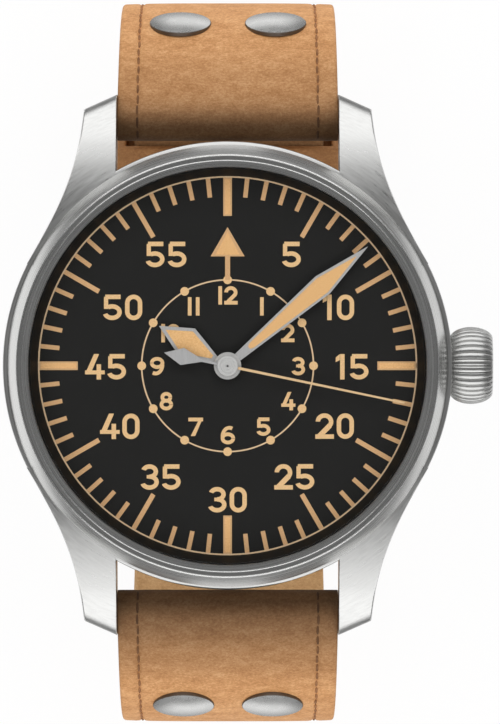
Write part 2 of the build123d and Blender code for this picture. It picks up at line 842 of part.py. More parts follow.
def escape_wheel():
    """Escape pinion and the wheel of hooked teeth that the pallets stop."""
    third_phase = mesh_turn(0, centre_teeth_count, third_angle, third_leaf_count)
    fourth_phase = mesh_turn(third_phase, third_teeth_count, third_angle + 180, fourth_leaf_count)
    turn = mesh_turn(fourth_phase, fourth_teeth_count, escape_angle, escape_leaf_count)
    body = toothed(escape_leaf_count, fourth_module, turn, escape_pinion_z, pinion_thick - wheel_thick / 2, escape_at)
    points = []
    for k in range(escape_teeth_count):
        base = 360 * k / escape_teeth_count
        points.append(at(escape_r, base))
        points.append(at(escape_r * escape_root_share, base + 360 / escape_teeth_count / 4))
        points.append(at(escape_r * escape_root_share, base + 360 / escape_teeth_count * 2 / 3))
    body += Pos(*escape_at, 0) * slab(points, escape_wheel_z, wheel_thick)
    rim_r = escape_r * escape_root_share - arbor_r
    body -= wheel_windows(wheel_hub_r / 2, rim_r, escape_wheel_z, wheel_thick, escape_at)
    return body + arbor(escape_at)


def pallet_fork():
    """Lever on its own staff: two arms that hold the stones and a forked tail."""
    line = pallet_line()
    reach = sqrt((balance_at[0] - pallet_at()[0]) ** 2 + (balance_at[1] - pallet_at()[1]) ** 2)
    tail = reach - pin_place
    stem = Pos(tail / 2, 0, pallet_thick / 2) * Box(tail, fork_width * 2 / 3, pallet_thick)
    stem += Pos(tail, 0, pallet_thick / 2) * Box(fork_width, 2 * fork_width, pallet_thick)
    stem -= Pos(tail, 0, pallet_thick / 2) * Box(fork_width * 2, fork_slot, 2 * pallet_thick)
    stem += disc(fork_width, 0, pallet_thick)
    arm_long = escape_r * tan(radians(pallet_spread_angle)) + fork_width
    for side in (-1, 1):
        limb = Pos(0, side * arm_long / 2, pallet_thick / 2) * Box(fork_width, arm_long, pallet_thick)
        stone = Pos(-stone_reach / 2, side * (arm_long - fork_width / 2), pallet_thick / 2)
        stem += limb + stone * Box(stone_reach, fork_width * 2 / 3, pallet_thick)
    body = Pos(*pallet_at(), escape_wheel_z) * Rot(0, 0, line) * stem
    return body + arbor(pallet_at(), pallet_bridge_z + pivot_clear)


def balance_wheel():
    """Balance rim with two arms on its staff, and the roller that carries the impulse pin."""
    rim = disc(balance_r, balance_z, balance_thick) - disc(balance_r - balance_rim, balance_z - overrun, 2 * overrun)
    rim += Pos(0, 0, balance_z + balance_thick / 2) * Box(2 * balance_r - balance_rim, balance_arm, balance_thick)
    roller_z = escape_wheel_z - pivot_clear - wheel_thick
    rim += disc(roller_r, roller_z - wheel_thick, wheel_thick)
    pin = at(pin_place, pallet_line() + 180)
    rim += disc(pin_r, roller_z - wheel_thick, 2 * wheel_thick, pin)
    return Pos(*balance_at, 0) * rim + arbor(balance_at)


def hairspring():
    """Fine flat coil between the balance and its cock."""
    return spiral_strip(hairspring_inner_r, hairspring_r, hairspring_coil_count, hairspring_strip, hairspring_z,
                        hairspring_high, balance_at)


def cannon_pinion():
    """Pipe pressed over the centre staff, toothed at its foot, that carries the minute hand."""
    foot = plate_foot_z + plate_thick + motion_gap
    body = toothed(cannon_leaf_count, cannon_module, 0, foot, cannon_thick, (0, 0))
    body += disc(cannon_pipe_r, foot, minute_hand_z + hand_thick - foot)
    body -= disc(centre_pipe_r, foot - overrun, dial_z - foot + overrun)
    return body - disc(seconds_arbor_r + centre_bore_clear, foot, minute_hand_z)


minute_phase = mesh_turn(0, cannon_leaf_count, motion_angle, minute_teeth_count)


def minute_wheel():
    """Wheel and pinion beside the centre that reduce the minute motion to the hour motion."""
    foot = plate_foot_z + plate_thick + motion_gap
    body = toothed(minute_teeth_count, cannon_module, minute_phase, foot, wheel_thick, motion_at)
    pinion_high = dial_z - motion_gap - foot - wheel_thick
    body += toothed(minute_leaf_count, hour_module, minute_phase, foot + wheel_thick, pinion_high, motion_at)
    post_z = plate_foot_z + plate_thick - pinion_thick
    return body + disc(arbor_r, post_z + pivot_clear, foot - post_z, motion_at)


def hour_wheel():
    """Wheel and pipe, turning round the cannon pinion, that carry the hour hand."""
    foot = plate_foot_z + plate_thick + motion_gap + cannon_thick + motion_gap
    turn = mesh_turn(minute_phase, minute_leaf_count, motion_angle + 180, hour_teeth_count)
    body = toothed(hour_teeth_count, hour_module, turn, foot, wheel_thick, (0, 0))
    body += disc(hour_pipe_r, foot, hour_hand_z + hand_thick - foot)
    return body - disc(cannon_pipe_r + pipe_clear, foot - overrun, dial_z)


def hand_outline(tip, wide, wide_at, neck):
    """Sword outline of a hand pointing at twelve."""
    return [(0, tip), (wide / 2, wide_at), (neck / 2, neck), (-neck / 2, neck), (-wide / 2, wide_at)]


def window_outline(tip, wide, wide_at, neck, foot):
    """The opening of a skeleton hand, a frame's width inside its outline."""
    share = (foot - neck) / (wide_at - neck)
    foot_half = (neck + (wide - neck) * share) / 2 - hand_frame
    return [
        (0, tip - hand_point), (wide / 2 - hand_frame, wide_at), (foot_half, foot),
        (-foot_half, foot), (hand_frame - wide / 2, wide_at),
    ]


hour_window = window_outline(hour_tip, hour_wide, hour_wide_at, hour_neck, hub_r + 2 * hand_frame)
minute_window = window_outline(minute_tip, minute_wide, minute_wide_at, minute_neck, minute_lume_foot)


def skeleton_hand(shape, window, z, pipe_r, turn):
    """A flat frame with an open middle at its clock angle, bored for its pipe."""
    body = slab(hand_outline(*shape), z, hand_thick) + disc(pipe_r + 2 * hand_frame, z, hand_thick)
    body -= slab(window, z - hand_thick, 3 * hand_thick)
    return compass(turn) * body - disc(pipe_r, z - overrun, 2 * overrun)


def seconds_hand():
    """Needle with a lozenge counterweight and a hub disc over the staff."""
    half = seconds_wide / 2
    body = slab([(half / 2, seconds_tip), (half, 0), (-half, 0), (-half / 2, seconds_tip)], seconds_hand_z, needle_thick)
    neck = slab([(half, 0), (half, -lozenge_foot), (-half, -lozenge_foot), (-half, 0)], seconds_hand_z, needle_thick)
    wide = lozenge_wide / 2
    lozenge = slab([
        (half, -lozenge_foot), (wide, -lozenge_wide_at), (0, -seconds_tail), (-wide, -lozenge_wide_at),
        (-half, -lozenge_foot),
    ], seconds_hand_z, needle_thick)
    return compass(seconds_angle) * (body + neck + lozenge + disc(hub_r, seconds_hand_z, hub_thick))


def ratchet_wheel():
    """Toothed wheel on the square end of the barrel arbor."""
    module = (ratchet_reach() - crown_spur_r()) * 2 / ratchet_teeth_count
    wheel = toothed(ratchet_teeth_count, module, ratchet_phase(), ratchet_z, ratchet_thick, barrel_at)
    return wheel - disc(barrel_arbor_r, ratchet_z - overrun, 2 * overrun, barrel_at)


def ratchet_reach():
    """Distance from the crown wheel to the ratchet wheel."""
    return sqrt((barrel_at[0] - contrate_at[0]) ** 2 + (barrel_at[1] - contrate_at[1]) ** 2)


def crown_spur_r():
    """Pitch radius of the crown wheel's flat teeth."""
    return ratchet_reach() * crown_spur_count / (crown_spur_count + ratchet_teeth_count)


def ratchet_line():
    """Direction from the crown wheel to the ratchet wheel."""
    return degrees(atan2(barrel_at[1] - contrate_at[1], barrel_at[0] - contrate_at[0]))


def ratchet_phase():
    """Turn of the ratchet wheel that puts it in mesh."""
    return mesh_turn(0, crown_spur_count, ratchet_line(), ratchet_teeth_count)


def crown_wheel():
    """Face teeth under the winding pinion, and flat teeth beside the ratchet wheel, on one short staff."""
    module = 2 * crown_spur_r() / crown_spur_count
    body = toothed(crown_spur_count, module, 0, ratchet_z, ratchet_thick, contrate_at)
    body += disc(barrel_arbor_r, ratchet_z, contrate_web_z - ratchet_z, contrate_at)
    body += disc(contrate_r, contrate_web_z, contrate_web_thick, contrate_at)
    top = contrate_web_z + contrate_web_thick
    outer = contrate_r - pivot_clear
    inner = outer - contrate_tooth * 2
    for k in range(contrate_teeth_count):
        tooth = Pos((inner + outer) / 2, 0, top) * Box(outer - inner, contrate_width, contrate_tooth * 2)
        body += Pos(*contrate_at, 0) * Rot(0, 0, 360 * (k + 0.5) / contrate_teeth_count) * tooth
    return body


def click():
    """Pawl beside the ratchet wheel, on a screw in the barrel bridge."""
    tip_r = ratchet_reach() - crown_spur_r()
    tip_r += addendum_share * 2 * tip_r / ratchet_teeth_count + square_clear
    line = barrel_angle + click_angle
    nose = at(tip_r, line)
    heel = at(tip_r + click_wide, line + degrees(click_long / tip_r))
    side = at(tip_r + 2 * click_wide, line + degrees(click_long / tip_r) / 2)
    body = Pos(*barrel_at, 0) * slab([nose, side, heel], ratchet_z, ratchet_thick)
    place = at(tip_r + click_wide, line + degrees(click_long / tip_r) * 3 / 4)
    spot = (barrel_at[0] + place[0], barrel_at[1] + place[1])
    return body + disc(screw_r / 2, ratchet_z, bridge_z - ratchet_z, spot)


def square_x(side, x0, x1):
    """A square bar along the stem's axis."""
    return box(x0, x1, -side / 2, side / 2, stem_z - side / 2, stem_z + side / 2)


def winding_stem():
    """Stem with a pilot, a square for the sliding pinion, and a groove for the setting lever."""
    body = along_x(stem_pilot_r, stem_inner_x, clutch_x)
    body += square_x(stem_square, clutch_x, stem_square_end_x)
    body += along_x(stem_r, stem_square_end_x, crown_foot_x + crown_bore_deep + crown_travel)
    ring = along_x(stem_r + overrun, groove_x, groove_x + groove_width)
    return body - (ring - along_x(stem_pilot_r, groove_x, groove_x + groove_width))


def fluted_x(count, tip_r, root_r, x0, x1, turn=0):
    """A toothed bar along the stem's axis."""
    points = []
    for k in range(count):
        points.append(at(tip_r, turn + 360 * k / count))
        points.append(at(root_r, turn + 360 * (k + 0.5) / count))
    bar = extrude(make_face(Polyline(*points, close=True)), x1 - x0)
    return Pos(x0, 0, stem_z) * Rot(0, 90, 0) * bar


def winding_pinion():
    """Pinion on the stem above the crown wheel."""
    body = fluted_x(winding_leaf_count, winding_tip_r, winding_root_r, pinion_x, pinion_x + pinion_long)
    return body - along_x(stem_pilot_r + square_clear, pinion_x - overrun, pinion_x + 2 * overrun)


def sliding_pinion():
    """Clutch with a waist, square bored, that turns with the stem."""
    body = along_x(clutch_r, clutch_x, clutch_x + clutch_long / 3)
    body += along_x(clutch_waist_r, clutch_x, clutch_x + clutch_long)
    body += along_x(clutch_r, clutch_x + clutch_long * 2 / 3, clutch_x + clutch_long)
    return body - square_x(stem_square + 2 * square_clear, clutch_x - overrun, clutch_x + 2 * overrun)


def setting_lever():
    """Lever whose nib sits in the groove of the stem."""
    foot = lever_foot_z
    body = arm((nib_x, -lever_reach), (nib_x, 0), lever_wide, foot, lever_thick)
    body += arm((nib_x, -lever_reach), (nib_x - lever_reach, -lever_reach), lever_wide, foot, lever_thick)
    body -= disc(arbor_r + pivot_clear, foot - overrun, 2 * overrun, (nib_x, -lever_reach))
    nib_high = stem_z - stem_pilot_r - pivot_clear - foot
    return body + disc(nib_r, foot, nib_high, (nib_x, 0))


def crown():
    """Grip with pointed flutes and coned ends, bored for the tube and the stem."""
    x0 = crown_foot_x
    x1 = crown_foot_x + crown_long
    middle = (x0 + x1) / 2
    cone_r = crown_end_r + (crown_r - crown_end_r) * crown_cone_share
    bow = Polyline(
        (x0, 0, stem_z), (x0, 0, stem_z + crown_end_r), (middle, 0, stem_z + cone_r),
        (x1, 0, stem_z + crown_end_r), (x1, 0, stem_z), close=True)
    body = revolve(make_face(bow), Axis((0, 0, stem_z), (1, 0, 0)))
    body = body & fluted_x(crown_flute_count, crown_r, crown_r - crown_flute_r, x0, x1)
    body -= along_x(crown_bore_r, x0 - overrun, x0 + crown_bore_deep)
    return body - along_x(stem_r, x0, x0 + crown_bore_deep + crown_travel)


def crown_tube():
    """Tube fixed through the case wall that the crown slides over."""
    end = crown_foot_x + crown_bore_deep * 2 / 3
    return along_x(tube_r, tube_inner_x, end) - along_x(tube_bore_r, tube_inner_x - overrun, end + overrun)


def crown_gasket():
    """Seal ring in the bore of the crown, round the tube."""
    x0 = crown_foot_x + crown_bore_deep / 3
    x1 = x0 + crown_bore_r - tube_r
    return along_x(crown_bore_r, x0, x1) - along_x(tube_r + pivot_clear, x0 - overrun, x1 + overrun)


def rotor():
    """Half-round winding weight with a heavy rim."""
    body = disc(rotor_r, rotor_z, rotor_web)
    heavy = disc(rotor_r, rotor_z, rotor_heavy)
    body += heavy - disc(rotor_r - rotor_rim, rotor_z - overrun, 2 * overrun)
    body -= box(-case_r, case_r, 0, case_r, rotor_z - overrun, rotor_z + overrun)
    body += disc(rotor_hub_r, rotor_z, rotor_web)
    return body - disc(bearing_r + pipe_clear, rotor_z - overrun, 2 * overrun)


def rotor_bearing():
    """Flanged post below the train bridge that the winding weight turns on."""
    foot = rotor_z - rotor_web
    body = disc(bearing_r, foot, bridge_z - foot)
    return body + disc(rotor_hub_r - pipe_clear, foot, rotor_web - pipe_clear)


def movement_screws():
    """Screw heads under the feet of the bridges."""
    spots = [*barrel_feet, *train_feet, cock_foot]
    return Compound([disc(screw_r, bridge_z - screw_high, screw_high, spot) for spot in spots])


def jewels():
    """Bearing stones pressed into the plate and the bridges, at the pivots that move fastest."""
    stones = []
    for place in (escape_at, balance_at):
        for z in (bridge_z, plate_foot_z):
            bore = disc(arbor_r + pivot_clear, z - overrun, 2 * overrun, place)
            stones.append(disc(jewel_r, z, jewel_thick, place) - bore)
    return Compound(stones)


def pallet_bridge():
    """Small bridge that holds the lower end of the pallet staff."""
    here = pallet_at()
    step = at(pallet_bridge_long, pallet_line() + 90)
    ends = [(here[0] + k * step[0], here[1] + k * step[1]) for k in (-1, 1)]
    body = arm(ends[0], ends[1], 2 * jewel_r, pallet_bridge_z, pallet_bridge_thick)
    for end in ends:
        body += disc(jewel_r, pallet_bridge_z, plate_foot_z - pallet_bridge_z, end)
    return body - disc(arbor_r + pivot_clear, pallet_bridge_z, pallet_bridge_thick, here)


def loop_point(r, turn):
    """A point of the strap's loop on the twelve side, turn counted from straight up."""
    return (0, loop_y + r * sin(radians(turn)), loop_z + r * cos(radians(turn)))


def loop_arc(r, turn0, turn1):
    """An arc of the loop between two turns."""
    return ThreePointArc(loop_point(r, turn0), loop_point(r, (turn0 + turn1) / 2), loop_point(r, turn1))


def across(face, width):
    """A side outline made as wide as the strap."""
    return extrude(face, width / 2, both=True)


def sector(outer, inner, turn0, turn1, width=2 * strap_width):
    """A curved layer of the loop between two radii and two turns."""
    face = make_face([
        loop_arc(outer, turn0, turn1),
        Line(loop_point(outer, turn1), loop_point(inner, turn1)),
        loop_arc(inner, turn0, turn1),
        Line(loop_point(inner, turn0), loop_point(outer, turn0)),
    ])
    return across(face, width)


def strap_outline():
    """The strap's width seen from the front: full at the lugs, narrower below the silhouette."""
    half = strap_width / 2
    silhouette = strap_silhouette_width / 2
    sole = strap_sole_width / 2
    low = sole_z - 4 * strap_thick
    points = [
        (half, 0, bar_z + fold_r), (silhouette, 0, loop_z), (sole, 0, sole_z), (sole, 0, low),
        (-sole, 0, low), (-sole, 0, sole_z), (-silhouette, 0, loop_z), (-half, 0, bar_z + fold_r),
    ]
    face = make_face(Polyline(*points, close=True))
    return extrude(face, 2 * loop_reach, both=True)


def bar_along_x(r, y, z, width):
    """A round bar along X at a place of the side view."""
    return Pos(-width / 2, y, z) * Rot(0, 90, 0) * rod(r, width)


def sole_run(r_in, r_out, y_end):
    """The flat stretch of a layer from the end of its bend to y_end."""
    return box(-strap_width, strap_width, y_end, loop_y, loop_z - r_out, loop_z - r_in)


def rivet_place_solid(piece, side):
    """A rivet piece set square on the curve of the strap."""
    seat = loop_point(loop_r, rivet_angle)
    return Pos(side * rivet_place, seat[1], seat[2]) * Rot(-rivet_angle, 0, 0) * piece


def rivet_holes():
    """Two round holes through all the layers of one strap end."""
    hole = disc(rivet_post_r, -2 * fold_r - overrun / 2, 2 * fold_r + overrun)
    return [rivet_place_solid(hole, side) for side in (-1, 1)]


def folded_end():
    """Outer leather wrapped round the spring bar and brought back inside the loop as a flap."""
    under = loop_r - leather - lining
    body = sector(loop_r, loop_r - leather, bar_angle, flap_end_angle)
    body += sector(under, under - flap, bar_angle, flap_end_angle)
    body += bar_along_x(fold_r, bar_y, bar_z, 2 * strap_width)
    body -= sector(loop_r - leather, under, bar_angle + degrees(fold_r / loop_r), flap_end_angle + degrees(fold_r / loop_r))
    return body - bar_along_x(bar_r + bar_clear, bar_y, bar_z, 3 * strap_width)


def strap_upper_leather():
    """Outer leather of the twelve side, from the lug fold to the fold round the buckle bar."""
    body = folded_end() + sector(loop_r, loop_r - leather, flap_end_angle, 180)
    body += sole_run(loop_r - leather, loop_r, buckle_bar_y)
    body += bar_along_x(strap_thick / 2, buckle_bar_y, buckle_bar_z, 2 * strap_width)
    body = body & strap_outline()
    body -= bar_along_x(buckle_bar_r + bar_clear, buckle_bar_y, buckle_bar_z, 2 * strap_width)
    body -= tongue_slot()
    return body - rivet_holes()


def strap_upper_lining():
    """Pale lining of the twelve side."""
    body = sector(loop_r - leather, loop_r - strap_thick, lining_start, 180)
    body += sole_run(loop_r - strap_thick, loop_r - leather, buckle_bar_y)
    body = body & strap_outline()
    body -= bar_along_x(strap_thick / 2, buckle_bar_y, buckle_bar_z, 2 * strap_width)
    return body - tongue_slot() - rivet_holes()


def tongue_slot():
    """Open slot in the buckle end of the strap for the foot of the tongue."""
    half = tongue_wide / 2 + 2 * tongue_clear
    reach = strap_thick / 2 + tongue_clear
    return box(-half, half, buckle_bar_y - 2 * reach, buckle_bar_y + reach, sole_z - overrun, sole_z + 2 * strap_thick)


def tail_curve(r, level):
    """Side curve of the long strap: loop, sole, ramp through the buckle, and tail below the other half."""
    flat_z = loop_z - r
    tail_z = sole_z - level
    tail_r = loop_r + level
    start = loop_point(r, flap_end_angle)
    middle = loop_point(r, (flap_end_angle + 180) / 2)
    bend = ThreePointArc((0, -start[1], start[2]), (0, -middle[1], middle[2]), (0, -loop_y, flat_z))
    run = Polyline((0, -loop_y, flat_z), (0, ramp_start_y, flat_z), (0, ramp_end_y, tail_z), (0, loop_y, tail_z))
    return [bend, run, loop_arc(tail_r, 180, tail_end_angle)]


def tail_layer(r_out, level_out, r_in, level_in):
    """One layer of the long strap between two side curves."""
    outer = tail_curve(r_out, level_out)
    inner = tail_curve(r_in, level_in)
    face = make_face([
        *outer, Line(outer[2] @ 1, inner[2] @ 1), *inner, Line(outer[0] @ 0, inner[0] @ 0),
    ])
    return across(face, 2 * strap_width)


def tail_cuts():
    """The tongue's hole, the free holes along the tail, and the pointed end."""
    cuts = [Pos(0, buckle_bar_y, buckle_bar_z) * Rot(angle, 0, 0) * Pos(0, -buckle_bar_y, -buckle_bar_z)
            * tongue_bar(2 * tongue_clear) for angle in (0, tongue_lift_angle / 2, tongue_lift_angle)]
    tail_r = loop_r + layer_clear
    for k in range(1, hole_count + 1):
        run = buckle_bar_y - buckle_long / 2 + k * hole_pitch
        turn = 180 - degrees(max(run - loop_y, 0) / tail_r)
        spot = loop_point(tail_r, turn)
        bore = disc(hole_r, -tail_thick - layer_clear, 2 * tail_thick + 2 * layer_clear)
        cuts.append(Pos(0, spot[1] + min(run - loop_y, 0), spot[2]) * Rot(-turn, 0, 0) * bore)
    return cuts


def strap_lower(r_out, level_out, r_in, level_in):
    """A layer of the six side with its width, holes and rounded end."""
    body = tail_layer(r_out, level_out, r_in, level_in)
    body = body & strap_outline()
    end = loop_point(loop_r + level_out, tail_end_angle)
    corner = Rot(0, 0, tail_corner_angle) * Box(tail_point, tail_point, strap_width)
    for side in (-1, 1):
        body -= Pos(side * strap_sole_width / 2, end[1], end[2]) * Rot(-tail_end_angle, 0, 0) * corner
    return body


def strap_lower_leather():
    """Outer leather of the six side, folded round its bar, through the buckle to the tail's end."""
    fold = mirror(folded_end() & strap_outline(), Plane.XZ)
    tail = strap_lower(loop_r, layer_clear + tail_thick, loop_r - leather, layer_clear + tail_thick / 2)
    body = fold + tail
    for cut in tail_cuts():
        body -= cut
    for hole in rivet_holes():
        body -= mirror(hole, Plane.XZ)
    return body


def strap_lower_lining():
    """Pale lining of the six side, to the tail's end."""
    start = sector(loop_r - leather, loop_r - strap_thick, lining_start, flap_end_angle)
    body = mirror(start & strap_outline(), Plane.XZ)
    body += strap_lower(loop_r - leather, layer_clear + tail_thick / 2, loop_r - strap_thick, layer_clear)
    for cut in tail_cuts():
        body -= cut
    for hole in rivet_holes():
        body -= mirror(hole, Plane.XZ)
    return body


def rivets():
    """Domed heads with posts through the strap, two at each lug end."""
    head = turned([(0, 0), (rivet_r, 0), (rivet_r * rivet_rim_share, rivet_dome * rivet_rim_share), (0, rivet_dome)])
    rivet = head + disc(rivet_post_r, -2 * fold_r, 2 * fold_r)
    seated = [rivet_place_solid(rivet, side) for side in (-1, 1)]
    return Compound(seated + [mirror(one, Plane.XZ) for one in seated])


def spring_bars():
    """Two bars with thinner ends that enter the lugs."""
    bars = []
    for y in (-bar_y, bar_y):
        bar = bar_along_x(bar_r, y, bar_z, lug_gap - 2 * layer_clear)
        bars.append(bar + bar_along_x(bar_pin_r, y, bar_z, lug_gap + lug_hole_deep))
    return Compound(bars)


def keeper_fixed():
    """Sewn leather band round both straps beside the buckle."""
    side = strap_sole_width / 2 + keeper_clear
    top = sole_z + strap_thick + keeper_clear
    low = sole_low_z + keeper_thick
    y0 = fixed_keeper_y - keeper_width / 2
    y1 = fixed_keeper_y + keeper_width / 2
    body = box(-side - keeper_thick, side + keeper_thick, y0, y1, sole_low_z, top + keeper_thick)
    return body - box(-side, side, y0 - overrun, y1 + overrun, low, top)


def keeper_free():
    """Sliding leather band round both straps on the bend of the loop."""
    half_turn = degrees(keeper_width / 2 / loop_r)
    side = strap_sole_width / 2 + keeper_clear * 3 / 2
    inner = loop_r - strap_thick - keeper_clear
    outer = loop_r + layer_clear + tail_thick + keeper_clear
    turn0 = free_keeper_angle - half_turn
    turn1 = free_keeper_angle + half_turn
    body = sector(outer + keeper_thick, inner - keeper_thick, turn0, turn1, 2 * (side + keeper_thick))
    return body - sector(outer, inner, turn0 - half_turn, turn1 + half_turn, 2 * side)


def buckle_frame():
    """Frame whose rails rise from the far bar to the ears of the buckle bar."""
    far = buckle_bar_y - buckle_long
    low = sole_low_z
    side = make_face(Polyline(
        (0, far - buckle_rail / 2, low), (0, far - buckle_rail / 2, low + buckle_thick),
        (0, buckle_bar_y - buckle_rail / 2, buckle_bar_z + buckle_rail / 2),
        (0, buckle_bar_y + buckle_rail / 2, buckle_bar_z + buckle_rail / 2),
        (0, buckle_bar_y + buckle_rail / 2, buckle_bar_z - buckle_rail / 2),
        (0, far + buckle_long / 2, low), close=True))
    outer = buckle_inner + 2 * buckle_rail
    body = across(side, outer)
    body -= box(-buckle_inner / 2, buckle_inner / 2, far + buckle_rail / 2, buckle_bar_y + overrun * 2,
                low - overrun, buckle_bar_z + overrun)
    body -= box(-tongue_wide / 2 - tongue_clear, tongue_wide / 2 + tongue_clear, far - buckle_rail, far + buckle_rail,
                low - overrun, low + tongue_thick + tongue_clear)
    return body - bar_along_x(buckle_bar_r, buckle_bar_y, buckle_bar_z, buckle_inner + buckle_rail)


def buckle_bar():
    """Pin through the ears of the frame and the fold of the strap."""
    return bar_along_x(buckle_bar_r, buckle_bar_y, buckle_bar_z, buckle_inner + buckle_rail)


def tongue_bar(extra=0):
    """Straight tongue from the bar to the notch of the far rail, grown by extra."""
    far = buckle_bar_y - buckle_long - buckle_rail / 2
    half = tongue_thick / 2 + extra
    z1 = sole_low_z + tongue_thick / 2
    rest = far + buckle_rail
    points = [
        (0, buckle_bar_y, buckle_bar_z + half), (0, rest, z1 + half), (0, far - extra, z1 + half),
        (0, far - extra, z1 - half), (0, rest, z1 - half), (0, buckle_bar_y, buckle_bar_z - half),
    ]
    return across(make_face(Polyline(*points, close=True)), tongue_wide + 2 * extra)


def buckle_tongue():
    """Tongue with an eye round the buckle bar."""
    body = tongue_bar() + bar_along_x(buckle_bar_r + tongue_eye, buckle_bar_y, buckle_bar_z, tongue_wide)
    return body - bar_along_x(buckle_bar_r + tongue_clear, buckle_bar_y, buckle_bar_z, buckle_inner)


hour_shape = (hour_tip, hour_wide, hour_wide_at, hour_neck)
minute_shape = (minute_tip, minute_wide, minute_wide_at, minute_neck)
pieces = [
    case_middle, bezel, crystal, crystal_gasket,
    rehaut_ring, dial, case_back, case_back_gasket, movement_ring,
    main_plate, barrel_bridge, train_bridge, balance_cock,
    pallet_bridge, movement_screws, jewels, crown_tube,
    rotor_bearing, barrel_drum, barrel_cover, barrel_arbor,
    mainspring, centre_wheel, third_wheel, fourth_wheel,
    escape_wheel, pallet_fork, balance_wheel, hairspring,
    cannon_pinion, minute_wheel, hour_wheel, seconds_hand,
    ratchet_wheel, crown_wheel, click, crown,
    crown_gasket, winding_stem, winding_pinion, sliding_pinion,
    setting_lever, rotor, spring_bars, strap_upper_leather,
    strap_upper_lining, strap_lower_leather, strap_lower_lining, rivets,
    keeper_fixed, keeper_free, buckle_frame, buckle_bar,
    buckle_tongue,
]
for piece in pieces:
    keep(piece(), piece.__name__)
keep(skeleton_hand(hour_shape, hour_window, hour_hand_z, hour_pipe_r, hour_angle), "hour_hand")
keep(skeleton_hand(minute_shape, minute_window, minute_hand_z, cannon_pipe_r, minute_angle), "minute_hand")
keep(compass(hour_angle) * slab(hour_window, hour_hand_z, hand_thick), "hour_hand_lume")
keep(compass(minute_angle) * slab(minute_window, minute_hand_z, hand_thick), "minute_hand_lume")
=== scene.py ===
# %% [markdown]
# # A pilot's wrist watch
# The watch stands buckled on the sole of its strap, its dial towards the sky, and the camera looks
# straight down on it. The packed model gives every piece its place. This script dresses that model:
# turned and brushed steel, a printed dial, hands, a ribbed crown and a sewn leather strap.

# %% Start
import json
from math import asin, atan2, cos, degrees, pi, radians, sin

import bmesh
import bpy
import numpy as np
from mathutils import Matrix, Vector


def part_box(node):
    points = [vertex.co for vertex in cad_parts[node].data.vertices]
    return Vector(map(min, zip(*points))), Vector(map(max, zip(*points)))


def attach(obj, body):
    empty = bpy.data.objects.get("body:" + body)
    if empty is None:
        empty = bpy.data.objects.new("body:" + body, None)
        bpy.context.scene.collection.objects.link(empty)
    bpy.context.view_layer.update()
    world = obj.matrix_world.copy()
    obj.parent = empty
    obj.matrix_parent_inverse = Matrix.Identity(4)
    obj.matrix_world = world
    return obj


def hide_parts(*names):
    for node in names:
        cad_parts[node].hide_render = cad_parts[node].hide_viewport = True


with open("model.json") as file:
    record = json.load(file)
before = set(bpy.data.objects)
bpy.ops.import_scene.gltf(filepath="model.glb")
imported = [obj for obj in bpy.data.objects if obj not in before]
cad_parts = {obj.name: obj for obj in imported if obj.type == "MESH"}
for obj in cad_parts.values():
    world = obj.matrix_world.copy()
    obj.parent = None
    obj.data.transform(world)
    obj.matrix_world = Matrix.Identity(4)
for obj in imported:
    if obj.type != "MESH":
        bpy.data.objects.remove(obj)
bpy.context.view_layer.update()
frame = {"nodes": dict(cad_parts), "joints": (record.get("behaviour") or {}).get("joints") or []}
nodes = frame["nodes"]
mm = 0.001
print("nodes:", len(nodes))

# %% [markdown]
# ## Sizes taken from the frame
# A piece that is drawn anew has to sit where the real one sits. Its size could be written down here,
# but it is read from the box of the solid that it stands for, so that it can't be wrong by a slip. A
# watch is mostly round, so one coordinate of a box is often a radius.


# %% Read the frame
def low(node, axis):
    """Lowest coordinate of a node's box on one axis, in millimetres."""
    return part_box(node)[0][axis] / mm


def high(node, axis):
    """Highest coordinate of a node's box on one axis, in millimetres."""
    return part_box(node)[1][axis] / mm


def joint_place(name):
    """Where a joint's axis passes, in millimetres."""
    joint = next(joint for joint in frame["joints"] if joint["name"] == name)
    return [c / mm for c in joint["pos_m"]]


dial_top = high("dial", 2)
dial_r = high("dial", 0)
floor_z = low("buckle_frame", 2)
print(f"dial top {dial_top:.2f}, dial radius {dial_r:.2f}, floor {floor_z:.2f}")

# %% [markdown]
# ## Camera
# The photograph is taken from far away, because the lugs and the strap ends hardly lean outwards. The
# distance is chosen so, and the lens follows from it: sensor over view equals lens over distance.


# %% Camera
def linked(name, data):
    """An object for some data, at the origin of the scene."""
    obj = bpy.data.objects.new(name, data)
    bpy.context.collection.objects.link(obj)
    return obj


photo_wide, photo_high = 500, 724
pixels_per_mm = 10.62
centre_pixel = (227.6, 365.75)
camera_reach = 700.0
camera_y = 9.4

camera_data = bpy.data.cameras.new("camera")
camera = linked("camera", camera_data)
view_high = photo_high / pixels_per_mm
camera_data.lens = camera_data.sensor_width * camera_reach / view_high
aim_x = (photo_wide / 2 - centre_pixel[0]) / pixels_per_mm
aim_y = (centre_pixel[1] - photo_high / 2) / pixels_per_mm
camera.location = (aim_x * mm, camera_y * mm, (dial_top + camera_reach) * mm)
camera.rotation_euler = (-atan2(camera_y - aim_y, camera_reach), 0, 0)
camera_data.clip_start, camera_data.clip_end = 10 * mm, 10000 * mm
bpy.context.scene.camera = camera
print(f"lens {camera_data.lens:.0f} mm, view {view_high:.1f} mm high")

# %% [markdown]
# ## Meshes from arrays
# Every new surface here is a grid of points worked out with numpy, because a formula can be read and
# changed, where points moved by hand can't. One helper joins the grid into quads, one turns a profile
# round an axis, and one makes an object of the result. Faces are kept as a list of arrays, one array
# for each number of corners, with a row for each face.


